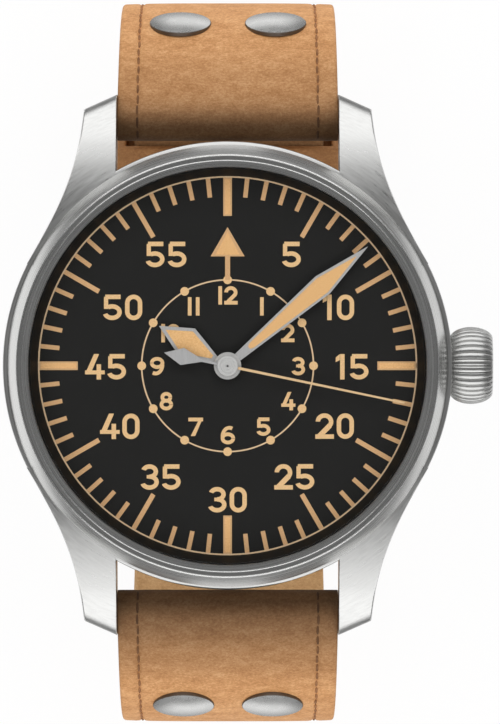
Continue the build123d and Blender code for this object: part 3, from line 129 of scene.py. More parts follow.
# %% Grid of quads
def grid_faces(rows, columns, wrap_rows=False, wrap_columns=False):
    """Joins each point of a grid to its right and lower neighbours; a wrapped side closes on itself."""
    r = np.arange(rows if wrap_rows else rows - 1)
    c = np.arange(columns if wrap_columns else columns - 1)
    r, c = np.meshgrid(r, c, indexing="ij")
    below, right = (r + 1) % rows, (c + 1) % columns
    corners = [r * columns + c, r * columns + right, below * columns + right, below * columns + c]
    return [np.stack(corners, axis=-1).reshape(-1, 4)]


def capped(grid):
    """Faces of rows that close round, with the first and the last row filled."""
    rows, columns = grid.shape[:2]
    index = np.arange(rows * columns).reshape(rows, columns)
    return grid_faces(rows, columns, False, True) + [np.stack([index[0, ::-1], index[-1]])]


def gather(solids):
    """Several solids as one: the faces of each are counted on from the points before it."""
    points, faces, start = [], [], 0
    for some_points, some_faces in solids:
        points.append(np.reshape(some_points, (-1, 3)))
        faces += [start + block for block in some_faces]
        start += len(points[-1])
    return np.concatenate(points), faces


print("quads between 3 rows of 4 points:", len(grid_faces(3, 4)[0]))

# %% Make a piece
sharp_turn = radians(32)
weld_distance = 0.0005


def smooth_mesh(mesh):
    """Smooth shading, with the edges of more than the sharp turn kept crisp."""
    mesh.polygons.foreach_set("use_smooth", np.ones(len(mesh.polygons), dtype=bool))
    mesh.set_sharp_from_angle(angle=sharp_turn)


def piece(name, points, faces, finish, body="watch", replaced=(), painted_shade=None):
    """An object at the origin from points in millimetres, with its faces turned outwards.
    Painted shade is one number for each point, which a finish can read: shade painted into its colour."""
    mesh = bpy.data.meshes.new(name)
    rows = [row for block in faces for row in block.tolist()]
    mesh.from_pydata((np.reshape(points, (-1, 3)) * mm).tolist(), [], rows)
    # The painted shade is stored on the mesh as a point attribute.
    if painted_shade is not None:
        mesh.attributes.new("painted_shade", "FLOAT", "POINT").data.foreach_set("value", painted_shade)
    made = bmesh.new()
    made.from_mesh(mesh)
    bmesh.ops.remove_doubles(made, verts=made.verts, dist=weld_distance * mm)
    bmesh.ops.recalc_face_normals(made, faces=made.faces)
    made.to_mesh(mesh)
    made.free()
    smooth_mesh(mesh)
    obj = linked(name, mesh)
    mesh.materials.append(finish)
    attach(obj, body)
    if replaced:
        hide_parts(*replaced)
    print(f"{name}: {len(mesh.polygons)} faces, rides on {body}")


# %% Rounded corners
def rounded(profile, radius, steps=4):
    """Each corner of a closed outline becomes a short curve between two points on its edges, a radius
    away, or 0.45 of the edge where that is less: the weights of the curve are (1-t)^2 and t^2 for those
    points and 2t(1-t) for the corner."""
    corner = np.asarray(profile, dtype=float)
    ends = []
    for turn in (1, -1):
        edge = np.roll(corner, turn, axis=0) - corner
        reach = np.linalg.norm(edge, axis=1, keepdims=True)
        ends.append((corner + edge / reach * np.minimum(radius, 0.45 * reach))[:, None])
    t = np.linspace(0, 1, steps)[None, :, None]
    curve = (1 - t) ** 2 * ends[0] + 2 * t * (1 - t) * corner[:, None] + t**2 * ends[1]
    return curve.reshape(-1, 2)


print("points of a rounded square:", len(rounded([(0, 0), (1, 0), (1, 1), (0, 1)], 0.1)))


# %% Turned rings and discs
def turned(profile, count=256):
    """Points and faces of a closed outline of (radius, height) turned round the Z axis."""
    r, z = np.asarray(profile, dtype=float).T[:, None]
    turn = np.radians(np.arange(count) * 360 / count)[:, None]
    points = np.stack([r * np.cos(turn), r * np.sin(turn), z + 0 * turn], axis=-1)
    return points, grid_faces(*points.shape[:2], True, True)


def turned_cap(profile, count=96):
    """Points and faces of an open outline that starts on the axis and ends on it, turned round Z."""
    points, _ = turned(profile, count)
    return points, grid_faces(*points.shape[:2], True, False)


print("points of a turned square:", turned([(1, 0), (2, 0), (2, 1), (1, 1)])[0].shape)

# %% [markdown]
# ## Materials
# Steel on a watch is never plain: a tool has left lines on it. They could be painted in an image, but
# noise on the object's own coordinates needs no image and stays sharp at any distance. Brushed steel
# is a metal whose bump is noise drawn out along the brush. Turned steel has noise of the distance from
# the axis alone, so its lines run round. A renderer adds up linear light. Colours of paint and leather
# are written as they look on a screen and changed to it, and those of metals are written in it.


# %% Colour
def colour(red, green, blue):
    """A screen colour from 0 to 255 as linear light: a value c above 0.04 becomes
    ((c+0.055)/1.055)^2.4, and a smaller one c/12.92."""
    c = np.array([red, green, blue]) / 255
    return tuple(np.where(c > 0.04045, ((c + 0.055) / 1.055) ** 2.4, c / 12.92).tolist())


print("middle grey in linear light:", round(colour(128, 128, 128)[0], 3))


# %% Nodes of a material
class Nodes:
    """A material with its main shader, and short ways to add nodes to it and to join them."""

    def __init__(self, name, base, roughness, metallic=0.0):
        self.material = bpy.data.materials.new(name)
        self.material.use_nodes = True
        self.tree = self.material.node_tree
        self.shader = self.tree.nodes["Principled BSDF"]
        self.base, self.roughness = base, roughness
        self.feed(self.shader, {"Base Color": (*base, 1.0), "Roughness": roughness, "Metallic": metallic})
        print(f"finish {name}: colour {tuple(round(c, 2) for c in base)}, roughness {roughness}")

    def feed(self, node, inputs):
        """Each input gets its constant, or is joined to the output of another node."""
        for socket, value in inputs.items():
            if isinstance(value, bpy.types.NodeSocket):
                self.tree.links.new(value, node.inputs[socket])
            else:
                node.inputs[socket].default_value = value

    def node(self, kind, inputs=(), output=0, **settings):
        """The output of a new node, which is the first one unless another is named."""
        made = self.tree.nodes.new("ShaderNode" + kind)
        for key, value in settings.items():
            setattr(made, key, value)
        self.feed(made, dict(inputs))
        return made.outputs[output]

    def maths(self, operation, *values):
        """An operation on constants or on outputs of other nodes."""
        return self.node("Math", enumerate(values), operation=operation)

    def mapped(self, value, span, result, **settings):
        """A number whose span is changed to the span of the result."""
        sockets = ("Value", "From Min", "From Max", "To Min", "To Max")
        return self.node("MapRange", zip(sockets, (value, *span, *result)), **settings)


# %% Patterns on the object
class Patterns(Nodes):
    """Nodes that give coordinates of the object, distances and noise."""

    def place(self, scale=(1, 1, 1)):
        """The object's own coordinates in millimetres, stretched by a scale on each axis."""
        where = self.node("TexCoord", output="Object")
        return self.node("Mapping", {"Vector": where, "Scale": [s / mm for s in scale]})

    def parts(self, vector):
        """The X, Y and Z of a vector."""
        return self.node("SeparateXYZ", {0: vector}, slice(3))

    def distance_from_axis(self):
        """How far a point is from the object's Z axis, in millimetres."""
        return self.node("VectorMath", {0: self.place((1, 1, 0))}, "Value", operation="LENGTH")

    def noise(self, vector, scale, detail=3.0, rough=0.5, lines=False):
        """Noise on a vector, or on one number when it is drawn as lines."""
        inputs = {"Scale": scale, "Detail": detail, "Roughness": rough, "W" if lines else "Vector": vector}
        return self.node("TexNoise", inputs, noise_dimensions="1D" if lines else "3D")


print("patterns:", ", ".join(name for name in vars(Patterns) if name[0] != "_"))


# %% What a pattern does to the surface
class Finish(Patterns):
    """Nodes that turn a pattern into colour, gloss and relief of the main shader."""

    def shade(self, inputs):
        """Inputs of the main shader."""
        self.feed(self.shader, inputs)

    def surface(self, shader):
        """The shader that the material shows in place of the main one."""
        self.feed(self.tree.nodes["Material Output"], {"Surface": shader})

    def ramp(self, factor, *stops):
        """Colours at positions from 0 to 1 along a factor."""
        made = self.tree.nodes.new("ShaderNodeValToRGB")
        self.feed(made, {"Fac": factor})
        band = made.color_ramp.elements
        while len(band) < len(stops):
            band.new(0.5)
        for element, (position, shade) in zip(band, stops):
            element.position = position
            element.color = (*shade, 1.0)
        return made.outputs["Color"]

    def times_painted_shade(self, shade):
        """A colour multiplied by the painted shade of the piece's points: shade painted into the colour."""
        # Painted shade: the attribute darkens the colour where the strap lies in shade.
        painted_shade = self.node("Attribute", output="Fac", attribute_name="painted_shade")
        return self.node("VectorMath", {0: shade, "Scale": painted_shade}, operation="SCALE")

    def gloss(self, factor, smooth, rough):
        """Roughness that a factor moves between two values."""
        self.shade({"Roughness": self.mapped(factor, (0.3, 0.7), (smooth, rough))})

    def bump(self, height, relief, strength=1.0, below=None):
        """Relief in millimetres, on top of another relief if one is given."""
        inputs = {"Height": height, "Distance": relief * mm, "Strength": strength}
        if below:
            inputs["Normal"] = below
        raised = self.node("Bump", inputs)
        self.shade({"Normal": raised})
        return raised

    def lined(self, lines, relief, less, more, valley, span=(0.3, 0.7)):
        """Fine lines in a metal: they are relief, they change its roughness by two amounts, and their
        valleys show a share of its colour."""
        self.bump(lines, relief)
        self.gloss(lines, self.roughness - less, self.roughness + more)
        stops = zip(span, ([c * valley for c in self.base], self.base))
        self.shade({"Base Color": self.ramp(lines, *stops)})
        return self.material


print("a pattern can go into:", ", ".join(name for name in vars(Finish) if name[0] != "_"))


# %% Metals
def brushed_metal(name, base, roughness, grain, relief=0.004, metallic=1.0):
    """Metal with fine lines drawn out along the axis whose number in grain is small."""
    finish = Finish(name, base, roughness, metallic)
    lines = finish.noise(finish.place(grain), 1.0, detail=4.0, rough=0.6)
    return finish.lined(lines, relief, less=0.06, more=0.08, valley=0.86)


def turned_metal(name, base, roughness, pitch=6.0, metallic=1.0):
    """Metal with fine rings round the Z axis, as a lathe leaves them."""
    finish = Finish(name, base, roughness, metallic)
    rings = finish.noise(finish.distance_from_axis(), pitch, detail=5.0, rough=0.7, lines=True)
    return finish.lined(rings, 0.003, less=0.05, more=0.07, valley=0.9)


def plain_metal(name, base, roughness):
    """Metal that is polished or plated: only a little cloudiness in its gloss."""
    finish = Finish(name, base, roughness, 1.0)
    finish.gloss(finish.noise(finish.place(), 1.5), roughness * 0.92, roughness * 1.12)
    return finish.material


def arc_brushed(name, base, roughness, pitch, relief=0.003, drift=0.12):
    """Satin metal whose lines run round the Z axis on flat faces and along the wall on upright ones:
    noise of the distance from the axis and of the height, which drifts only slowly along X and Y."""
    finish = Finish(name, base, roughness, 1.0)
    x, y, z = finish.parts(finish.place((drift, drift, pitch * 0.7)))
    reach = finish.maths("MULTIPLY_ADD", finish.distance_from_axis(), pitch, x)
    lines_at = finish.node("CombineXYZ", {"X": reach, "Y": y, "Z": z})
    lines = finish.noise(lines_at, 1.0, detail=4.0, rough=0.6)
    return finish.lined(lines, relief, less=0.04, more=0.08, valley=0.85, span=(0.32, 0.62))


steel, satin = (0.60, 0.60, 0.59), (0.64, 0.64, 0.63)
case_steel = arc_brushed("case_steel", satin, 0.30, pitch=5.0)
bezel_steel = arc_brushed("bezel_steel", satin, 0.26, pitch=10.0, relief=0.0008)
bright_steel = plain_metal("bright_steel", (0.90, 0.90, 0.89), 0.20)
back_steel = turned_metal("back_steel", steel, 0.30, pitch=4.0)
crown_steel = brushed_metal("crown_steel", (0.59, 0.59, 0.58), 0.3, (0.5, 8.0, 8.0))
polished_steel = plain_metal("polished_steel", steel, 0.16)
satin_steel = plain_metal("satin_steel", steel, 0.32)
rivet_steel = plain_metal("rivet_steel", (0.63, 0.63, 0.62), 0.27)
# Near-black steel for the rivet rims only: a painted shadow line round each rivet.
painted_shadow_steel = plain_metal("painted_shadow_steel", (0.17, 0.16, 0.15), 0.4)
hand_steel = brushed_metal("hand_steel", (0.55, 0.55, 0.55), 0.42, (12.0, 1.0, 12.0),
                           relief=0.002, metallic=0.3)
hub_steel = turned_metal("hub_steel", (0.70, 0.70, 0.69), 0.36, pitch=9.0, metallic=0.3)
brass = turned_metal("gilt_brass", (0.80, 0.60, 0.28), 0.30)
nickel = turned_metal("plated_plate", (0.64, 0.63, 0.60), 0.30, pitch=3.0)
blued = plain_metal("blued_steel", (0.06, 0.10, 0.32), 0.22)


# %% Paint, lume and print
def speckled(name, base, second, roughness, scale, relief=0.0, takes_painted_shade=False):
    """A matt coat of two near colours in a fine speckle; when asked, painted shade is multiplied in."""
    finish = Finish(name, colour(*base), roughness)
    speck = finish.noise(finish.place(), scale, detail=5.0, rough=0.65)
    shade = finish.ramp(speck, (0.35, finish.base), (0.65, colour(*second)))
    # Painted shade is multiplied into the colour when this coat takes it.
    finish.shade({"Base Color": finish.times_painted_shade(shade) if takes_painted_shade else shade, "Specular IOR Level": 0.25})
    if relief:
        finish.bump(speck, relief)
    return finish.material


dial_black = speckled("dial_black", (24, 24, 23), (31, 31, 30), 0.55, 12.0, relief=0.002)
flange_black = speckled("flange_black", (20, 20, 19), (26, 26, 25), 0.6, 12.0)
print_tan = speckled("print_tan", (204, 161, 114), (222, 180, 133), 0.6, 9.0)
lume_orange = speckled("lume_orange", (222, 170, 108), (242, 198, 142), 0.65, 9.0, relief=0.004)
number_tan = speckled("number_tan", (224, 184, 132), (240, 202, 150), 0.6, 9.0)
circle_tan = speckled("circle_tan", (214, 184, 146), (230, 200, 162), 0.6, 9.0)
needle_tan = speckled("needle_tan", (218, 184, 138), (234, 202, 158), 0.5, 9.0)
black_rubber = speckled("black_rubber", (22, 22, 22), (28, 28, 28), 0.6, 6.0)
ruby = speckled("ruby", (140, 16, 44), (176, 30, 66), 0.12, 1.2)

# %% [markdown]
# ## Glass
# Sapphire on a watch carries a coating that leaves only a trace of reflection. A real glass shader
# bends the light and keeps most of the lamps off the dial. A surface that is mostly see-through and
# keeps a thin gloss looks the same from outside, and it lets the lamps reach the dial.


# %% Glass
def dress(finish, *names):
    """Gives solids of the frame one finish, in place of the one that they came with."""
    for name in names:
        slots = nodes[name].data.materials
        slots.clear()
        slots.append(finish)
    print(f"{finish.name} on {', '.join(names)}")


glass = Finish("coated_glass", (1.0, 1.0, 1.0), 0.02)
trace = glass.node("Fresnel", {"IOR": 1.16})
mirror = glass.node("BsdfGlossy", {"Roughness": 0.02})
glass.surface(glass.node("MixShader", {"Fac": trace, 1: glass.node("BsdfTransparent"), 2: mirror}))
glass.tree.nodes.remove(glass.shader)
dress(glass.material, "crystal")

# %% [markdown]
# ## Finishes of the pieces that keep their solid
# Most of the movement lies sealed in the case: gilt wheels, plated bridges, blued screws and stones.
# Their solids have the right shape, so they stay and only get their finish.

# %% Dress the solids
dress(dial_black, "dial")
dress(flange_black, "rehaut_ring")
dress(black_rubber, "crystal_gasket", "case_back_gasket", "crown_gasket")
dress(nickel, "main_plate", "barrel_bridge", "train_bridge", "balance_cock", "pallet_bridge",
      "movement_ring", "rotor")
dress(brass, "barrel_drum", "barrel_cover", "centre_wheel", "third_wheel", "fourth_wheel",
      "balance_wheel", "minute_wheel", "hour_wheel")
dress(blued, "movement_screws", "hairspring")
dress(ruby, "jewels")
dress(polished_steel, "barrel_arbor", "mainspring", "escape_wheel", "pallet_fork", "cannon_pinion",
      "ratchet_wheel", "crown_wheel", "click", "winding_stem", "winding_pinion", "sliding_pinion",
      "setting_lever", "rotor_bearing", "crown_tube", "spring_bars", "buckle_bar")
dress(back_steel, "case_back")

# %% [markdown]
# ## Case and lugs
# A case is turned and milled from one bar. Its top follows one side curve from lug tip to lug tip:
# level in the middle and falling ever more steeply towards the strap. It could be cut from a block with
# booleans, but then ring and lugs meet in a step. Here both take their height from the same curve, so
# they flow into each other. The curve's tilt is given at a few places, and the sum of its tangent along
# Y is the drop. A lug is a grid between its inner and its outer edge in plan.

# %% Side curve of the case top
case_level = low("bezel", 2) + 0.25
tilt_at = [0.0, 10.0, 13.0, 16.0, 18.5, 21.0, 23.0, 26.0]
upper_tilt = [0.0, 1.0, 4.5, 9.0, 13.5, 18.5, 30.0, 48.0]
lower_tilt = [0.0, 2.5, 8.0, 12.5, 15.0, 18.0, 28.0, 48.0]
curve_step = 0.05
curve_y = np.arange(0, 27, curve_step)


def summed_drop(tilt):
    """The tangent of the tilt added up along Y."""
    slope = np.tan(np.interp(curve_y + curve_step / 2, tilt_at, np.radians(tilt)))
    return np.concatenate([[0], np.cumsum(slope)[:-1] * curve_step])


side_curve_y = np.concatenate([-curve_y[:0:-1], curve_y])
side_curve_drop = np.concatenate([summed_drop(lower_tilt)[:0:-1], summed_drop(upper_tilt)])


def case_top(y):
    """Height of the case's top at a place along Y: the level less the summed drop."""
    return case_level - np.interp(y, side_curve_y, side_curve_drop)


def round_fall(distance, radius):
    """How far a rounded edge has fallen at a distance inside it: r - sqrt(r^2 - (r - d)^2)."""
    inside = np.clip(1 - distance / radius, 0, 1)
    return radius * (1 - np.sqrt(1 - inside**2))


print("case top in the middle and at the tips:", case_top(np.array([0.0, 25.5, -25.5])).round(2))

# %% Case ring
case_r = high("case_middle", 0) + 0.15
case_foot_z, case_bore_r = 0.9, 16.9
bezel_seat = (20.3, 6.2)
ring_round = 0.13
round_steps = np.array([0.0, 0.01, 0.04, 0.08, ring_round])


def case_ring(count=360):
    """The ring between bezel and back is turned from its outline, and the rows of its top then take
    their height from the side curve, less the fall of the rounded outer edge."""
    rim_fall = round_fall(ring_round - round_steps, ring_round)
    rim = np.column_stack([case_r - ring_round + round_steps, -rim_fall])
    top = np.concatenate([[(bezel_seat[0], 0), (20.6, 0), (20.85, 0)], rim])
    wall = [
        (case_r, 6.2), (case_r, 4.5), (case_r, 3.1), (case_r - 0.05, 2.95),  # down the flank
        (19.0, 1.0), (18.85, case_foot_z),  # in towards the back
        (case_bore_r, case_foot_z), (case_bore_r, bezel_seat[1]), bezel_seat,  # up the bore
    ]
    points, faces = turned(np.concatenate([top, wall]), count)
    points[:, :len(top), 2] += case_top(points[:, :len(top), 1])
    return points, faces


print("points of the case ring:", case_ring()[0].shape)

# %% One lug
lug_inner_x, lug_inner_y = 10.5, (16.6, 25.62)
flank_y = [9.6, 11.2, 13.0, 14.95, 16.5, 18.1, 19.7, 22.0, 24.2]
flank_x = [18.9, 18.0, 17.0, 16.0, 15.38, 14.8, 14.32, 13.85, 13.6]
flank = np.polynomial.Polynomial.fit(flank_y, flank_x, 4)
lug_sole_y, lug_sole_z = [9.6, 16.0, 21.5, 25.6], [2.4, 0.6, -0.9, -1.55]
lug_raise = 0.012
inner_round, tip_round = 0.12, 0.9
chamfer_wide, chamfer_steep = 0.13, 1.75


def lug(side_x, side_y, along_count=56, across_count=30):
    """Rows from the root (v = 0) to the tip (v = 1). Each row goes from the inner edge (u = 0) over the
    top to the outer edge (u = 1), down the flank and back along the sole, so that the rows close to a
    solid with a flat end at each side. The top is the case's curve less the fall of its edges."""
    v = np.sin(np.linspace(0, pi / 2, along_count))
    u = (1 - np.cos(np.linspace(0, pi, across_count))) / 2
    inner = np.stack([np.full(along_count, lug_inner_x), np.interp(v, [0, 1], lug_inner_y)], axis=1)
    outer_y = np.interp(v, [0, 1], [flank_y[0], flank_y[-1]])
    outer = np.stack([flank(outer_y), outer_y], axis=1)
    wide = np.linalg.norm(outer - inner, axis=1)[:, None]
    long = np.linalg.norm(inner[-1] + outer[-1] - inner[0] - outer[0]) / 2
    plan = inner[:, None] * (1 - u[None, :, None]) + outer[:, None] * u[None, :, None]
    chamfer = np.clip(chamfer_wide - (1 - u[None]) * wide, 0, 1) * chamfer_steep
    fall = round_fall(u[None] * wide, inner_round) + chamfer + round_fall((1 - v[:, None]) * long, tip_round)
    top = case_top(side_y * plan[..., 1]) + lug_raise - fall
    sole = np.interp(plan[..., 1], lug_sole_y, lug_sole_z)
    rows = np.concatenate([np.dstack([plan, top]), np.dstack([plan, sole])[:, ::-1]], axis=1)
    return rows * (side_x, side_y, 1), capped(rows)


lugs = [lug(side_x, side_y) for side_x in (-1, 1) for side_y in (-1, 1)]
piece("case_finished", *gather([case_ring()] + lugs), case_steel, replaced=["case_middle"])

# %% [markdown]
# ## Bezel
# The bezel is a ring with a steep satin slope, a narrow bright rim, a shallow groove and a second
# bright lip that holds the glass. A stack of plain rings would show gaps between them, so one outline
# of radius and height, its corners rounded a little, is turned round the axis. Two rings of round wire
# lie on its corners, because a polished edge shows as a thin bright line all the way round.

# %% Bezel
bezel_foot, bezel_top = low("bezel", 2), high("bezel", 2)
skirt_r, skirt_in, skirt_foot = 20.8, 20.35, 6.5
slope_foot = bezel_foot + 0.2
rim_out, rim_in = 19.86, 19.73
rim_z = bezel_top - 0.2
groove_in, groove_z = 19.29, rim_z - 0.12
lip_in, lip_foot, lip_wide = 18.68, bezel_top - 0.55, 0.5
bezel_seat_r = dial_r + 0.06
ledge_z = low("crystal", 2) - 0.04
bezel_rounding = 0.03
bezel_outline = [
    (bezel_seat_r, bezel_foot), (skirt_in, bezel_foot), (skirt_in, skirt_foot), (skirt_r, skirt_foot),
    (skirt_r, slope_foot), (rim_out, rim_z), (rim_in, rim_z), (rim_in, groove_z), (groove_in, groove_z),
    (groove_in, bezel_top), (lip_in, bezel_top), (lip_in, lip_foot), (lip_in + lip_wide, lip_foot),
    (lip_in + lip_wide, ledge_z), (bezel_seat_r, ledge_z),
]
piece("bezel_ring", *turned(rounded(bezel_outline, bezel_rounding)), bezel_steel, replaced=["bezel"])


def wire_ring(r, z, thick):
    """A ring of round wire: a circle turned round the axis."""
    turn = np.linspace(0, 2 * pi, 12, endpoint=False)
    return turned(np.stack([r + thick / 2 * np.cos(turn), z + thick / 2 * np.sin(turn)], axis=1))


piece("bezel_bright_rim", *wire_ring((rim_out + rim_in) / 2, rim_z - 0.01, rim_out - rim_in), bright_steel)
piece("bezel_bright_lip", *wire_ring(groove_in, bezel_top - 0.04, 0.1), bright_steel)

# %% [markdown]
# ## Dial print
# The numbers and tracks of a dial are printed in thick ink. Text objects could give the numbers, but a
# font brings its own shapes, so each mark is a stroke instead: two lines of points, its left edge and
# its right edge, which are given a top, sides and a foot. Bars, arcs, rings and dots are all strokes.
# The numbers are plain geometric figures made of bars and parts of ellipses.


# %% Strokes
def stroke_solid(edges, z0, z1):
    """A raised stroke: four points (left top, right top, right foot, left foot) at each step of its
    length, joined round and along, with both ends closed."""
    left, right = edges
    corners = ((left, z1), (right, z1), (right, z0), (left, z0))
    points = np.stack([np.column_stack([edge, np.full(len(edge), z)]) for edge, z in corners], axis=1)
    return points, capped(points)


def arc(x, y, across, up, turn0, turn1, wide, count=28):
    """A stroke along part of an ellipse: its edges are ellipses half a width larger and smaller."""
    turn = np.radians(np.linspace(turn0, turn1, count))
    return [np.stack([x + (across + half_wide) * np.cos(turn), y + (up + half_wide) * np.sin(turn)], axis=1)
            for half_wide in (wide / 2, -wide / 2)]


def bar(x0, y0, x1, y1, wide):
    """A straight stroke between two points."""
    ends = np.array([(x0, y0), (x1, y1)])
    side = np.array([y0 - y1, x1 - x0]) / np.hypot(x1 - x0, y1 - y0) * wide / 2
    return [ends + side, ends - side]


def quad(a, b, c, d):
    """A stroke with four free corners, named round its outline."""
    return [np.array([a, b], dtype=float), np.array([d, c], dtype=float)]


print("points of a quarter circle's stroke:", stroke_solid(arc(0, 0, 1, 1, 0, 90, 0.1), 0, 1)[0].shape)


# %% Figures
def figure(sign, w):
    """The strokes of one figure that is 1 high and whose middle is at x = 0, in lines w wide, and how
    wide it is. The stroke | is the plain one of the small numbers."""
    top, foot, half = 1 - w / 2, w / 2, 0.25
    six = [arc(0, foot + 0.225, 0.29, 0.225, 0, 360, w, 40), arc(0.08, 0.42, 0.37, top - 0.42, 65, 180, w)]
    figures = {
        "0": ([arc(0, top - half, half, half, 0, 180, w), arc(0, foot + half, half, half, 180, 360, w),
               bar(-half, foot + half, -half, top - half, w), bar(half, foot + half, half, top - half, w)],
              2 * half + w),
        "1": ([bar(0, 0, 0, 1, w), quad((-0.26, 0.86), (-0.26, 0.68), (-0.1, 0.76), (-0.1, 1))], 0.37),
        "|": ([bar(0, 0, 0, 1, w)], w),
        "2": ([arc(0, top - 0.245, 0.26, 0.245, 178, -38, w),
               quad((0.14, 0.60), (-0.28, 0.17), (-0.12, 0.05), (0.29, 0.458)),
               bar(-0.36, foot, 0.37, foot, w)], 0.74),
        "3": ([arc(-0.01, top - 0.2, 0.25, 0.2, 160, -90, w),
               arc(-0.01, foot + 0.215, 0.28, 0.215, 90, -162, w),
               bar(-0.12, 0.51, 0, 0.51, w * 0.8)], 0.74),
        "4": ([quad((-0.03, 1), (0.17, 1), (-0.13, 0.30), (-0.38, 0.22)),
               bar(-0.38, 0.28, 0.39, 0.28, w * 0.88), bar(0.16, 0, 0.16, 0.6, w)], 0.77),
        "5": ([bar(-0.29, top, 0.31, top, w), bar(-0.26, 0.44, -0.26, top, w * 0.95),
               arc(-0.02, foot + 0.225, 0.29, 0.225, 128, -162, w),
               bar(-0.29, 0.49, -0.1, 0.53, w * 0.6)], 0.75),
        "6": (six, 0.76),
        "7": ([bar(-0.4, top, 0.4, top, w), quad((0.4, 1), (0.17, 0.88), (-0.27, 0), (-0.03, 0))], 0.8),
        "8": ([arc(0, top - 0.19, 0.215, 0.19, 0, 360, w, 40),
               arc(0, foot + 0.215, 0.265, 0.215, 0, 360, w, 40)], 0.74),
        "9": ([[(0, 1) - edge for edge in edges] for edges in six], 0.76),
    }
    return figures[sign]


gap, pair_gap = 0.11, 0.235


def number(text, x, y, size, ink):
    """A number centred on a point: its figures stand side by side with a gap between them."""
    parts = [figure(sign, ink) for sign in text]
    space = pair_gap if text == "||" else gap
    strokes, pen = [], -(sum(wide for _, wide in parts) + space * (len(parts) - 1)) / 2
    for some, wide in parts:
        shift = np.array([x + (pen + wide / 2) * size, y - size / 2])
        strokes += [[edge * size + shift for edge in edges] for edges in some]
        pen += wide + space
    return strokes


print("strokes of a 25:", len(number("25", 0, 0, 1, 0.2)))

# %% [markdown]
# ## Tracks of the dial
# The minute track is a thin circle with a bar for each minute, longer at every fifth and broader at
# the quarters; the hour circle carries twelve dots. Clock angles run from twelve to the right, so a
# point at angle a and reach r is (r sin a, r cos a), and all marks come from that one rule.

# %% Marks
track_r, track_line = 17.71, 0.15
hour_circle_r, hour_line = 8.09, 0.14
dot_r = 0.41
quarter_bar, fifth_bar, minute_bar = (3.6, 0.81), (3.73, 0.45), (1.79, 0.42)
arrow_tip, arrow_foot, arrow_half, arrow_stem = 13.05, 10.3, 1.6, 0.47


def clock_point(turn, reach):
    """The place (x, y) at a clock angle and a distance from the centre."""
    return reach * sin(radians(turn)), reach * cos(radians(turn))


def radial_bar(turn, reach0, reach1, wide):
    """A bar that points away from the centre at a clock angle."""
    return bar(*clock_point(turn, reach0), *clock_point(turn, reach1), wide)


def circle_line(r, wide):
    """A thin ring as one stroke that ends where it starts."""
    return arc(0, 0, r, r, 0, 360, wide, 241)


def dot(x, y, r):
    """A round dot as a stroke: its upper half is one edge and its lower half the other."""
    turn = np.radians(np.linspace(0, 180, 13))
    return [np.stack([x + r * np.cos(turn), y + up * r * np.sin(turn)], axis=1) for up in (1, -1)]


marks = []
for minute in range(60):
    long, wide = quarter_bar if minute % 15 == 0 else fifth_bar if minute % 5 == 0 else minute_bar
    marks.append(radial_bar(6 * minute, track_r - long, track_r, wide))
marks.append(quad((0, arrow_tip), (-arrow_half, arrow_foot), (arrow_half, arrow_foot), (0, arrow_tip)))
marks.append(bar(0, hour_circle_r, 0, arrow_foot, arrow_stem))
dots = [dot(*clock_point(30 * hour, hour_circle_r), dot_r) for hour in range(12)]
circles = [circle_line(track_r + track_line / 2, track_line), circle_line(hour_circle_r, hour_line)]
print("marks:", len(marks), "dots:", len(dots))

# %% [markdown]
# ## Numbers
# The numbers stand upright. They could be set by clock angle and reach, but the real ones stray from
# that a little, so their places are read from the photograph in pixels, which the scale of the camera
# turns into millimetres from the centre. Strokes that cross at one height would flicker, so their
# heights differ by a thousandth of a millimetre or two.

# %% Place the numbers
dial_pixel = (227.7, 366.2)
minute_size, minute_ink = 2.4, 0.175
hour_size, hour_ink = 1.73, 0.2
minute_pixels = {
    "5": (291.8, 254.9), "10": (339.5, 307.8), "15": (353.4, 367.2), "20": (334.6, 426.5),
    "25": (294.5, 477.3), "30": (227.5, 500.2), "35": (160.8, 477.5), "40": (119.8, 426.8),
    "45": (105.8, 367.2), "50": (122.8, 307.8), "55": (166.5, 254.9),
}
hour_pixels = {
    "|2": (228.1, 295.8), "||": (193.8, 306.8), "|": (262, 306.8), "2": (287.8, 333.4),
    "3": (298.4, 366.6), "4": (288.4, 401.6), "5": (263.8, 427.1), "6": (228, 435.6),
    "7": (195.8, 427.3), "8": (166.4, 401.6), "9": (157.2, 366.6), "|0": (170.7, 333.6),
}
numbers = []
for table, size, ink in ((minute_pixels, minute_size, minute_ink), (hour_pixels, hour_size, hour_ink)):
    for text, (pixel_x, pixel_y) in table.items():
        x, y = (pixel_x - dial_pixel[0]) / pixels_per_mm, (dial_pixel[1] - pixel_y) / pixels_per_mm
        numbers += number(text, x, y, size, ink)

print_high, layer_step, layers = 0.03, 0.0015, 7
for name, strokes, ink_high, tint in (
        ("dial_circles", circles, 0.8 * print_high, circle_tan),
        ("dial_print", marks, print_high, print_tan),
        ("dial_numbers", dots + numbers, print_high, number_tan)):
    solids = [stroke_solid(edges, dial_top, dial_top + ink_high + k % layers * layer_step)
              for k, edges in enumerate(strokes)]
    piece(name, *gather(solids), tint)

# %% Lume on the quarters and the arrow
lume_inset = 0.15
quarter_long, quarter_wide = quarter_bar
fills = [radial_bar(90 * k, track_r - quarter_long + lume_inset, track_r - lume_inset,
                    quarter_wide - 2 * lume_inset) for k in range(4)]
lume_tip, lume_foot = (0, arrow_tip - 3 * lume_inset), arrow_foot + lume_inset
lume_half = arrow_half - 3 * lume_inset
fills.append(quad(lume_tip, (-lume_half, lume_foot), (lume_half, lume_foot), lume_tip))
solids = [stroke_solid(edges, dial_top + print_high / 2, dial_top + 2 * print_high) for edges in fills]
piece("dial_lume", *gather(solids), lume_orange)

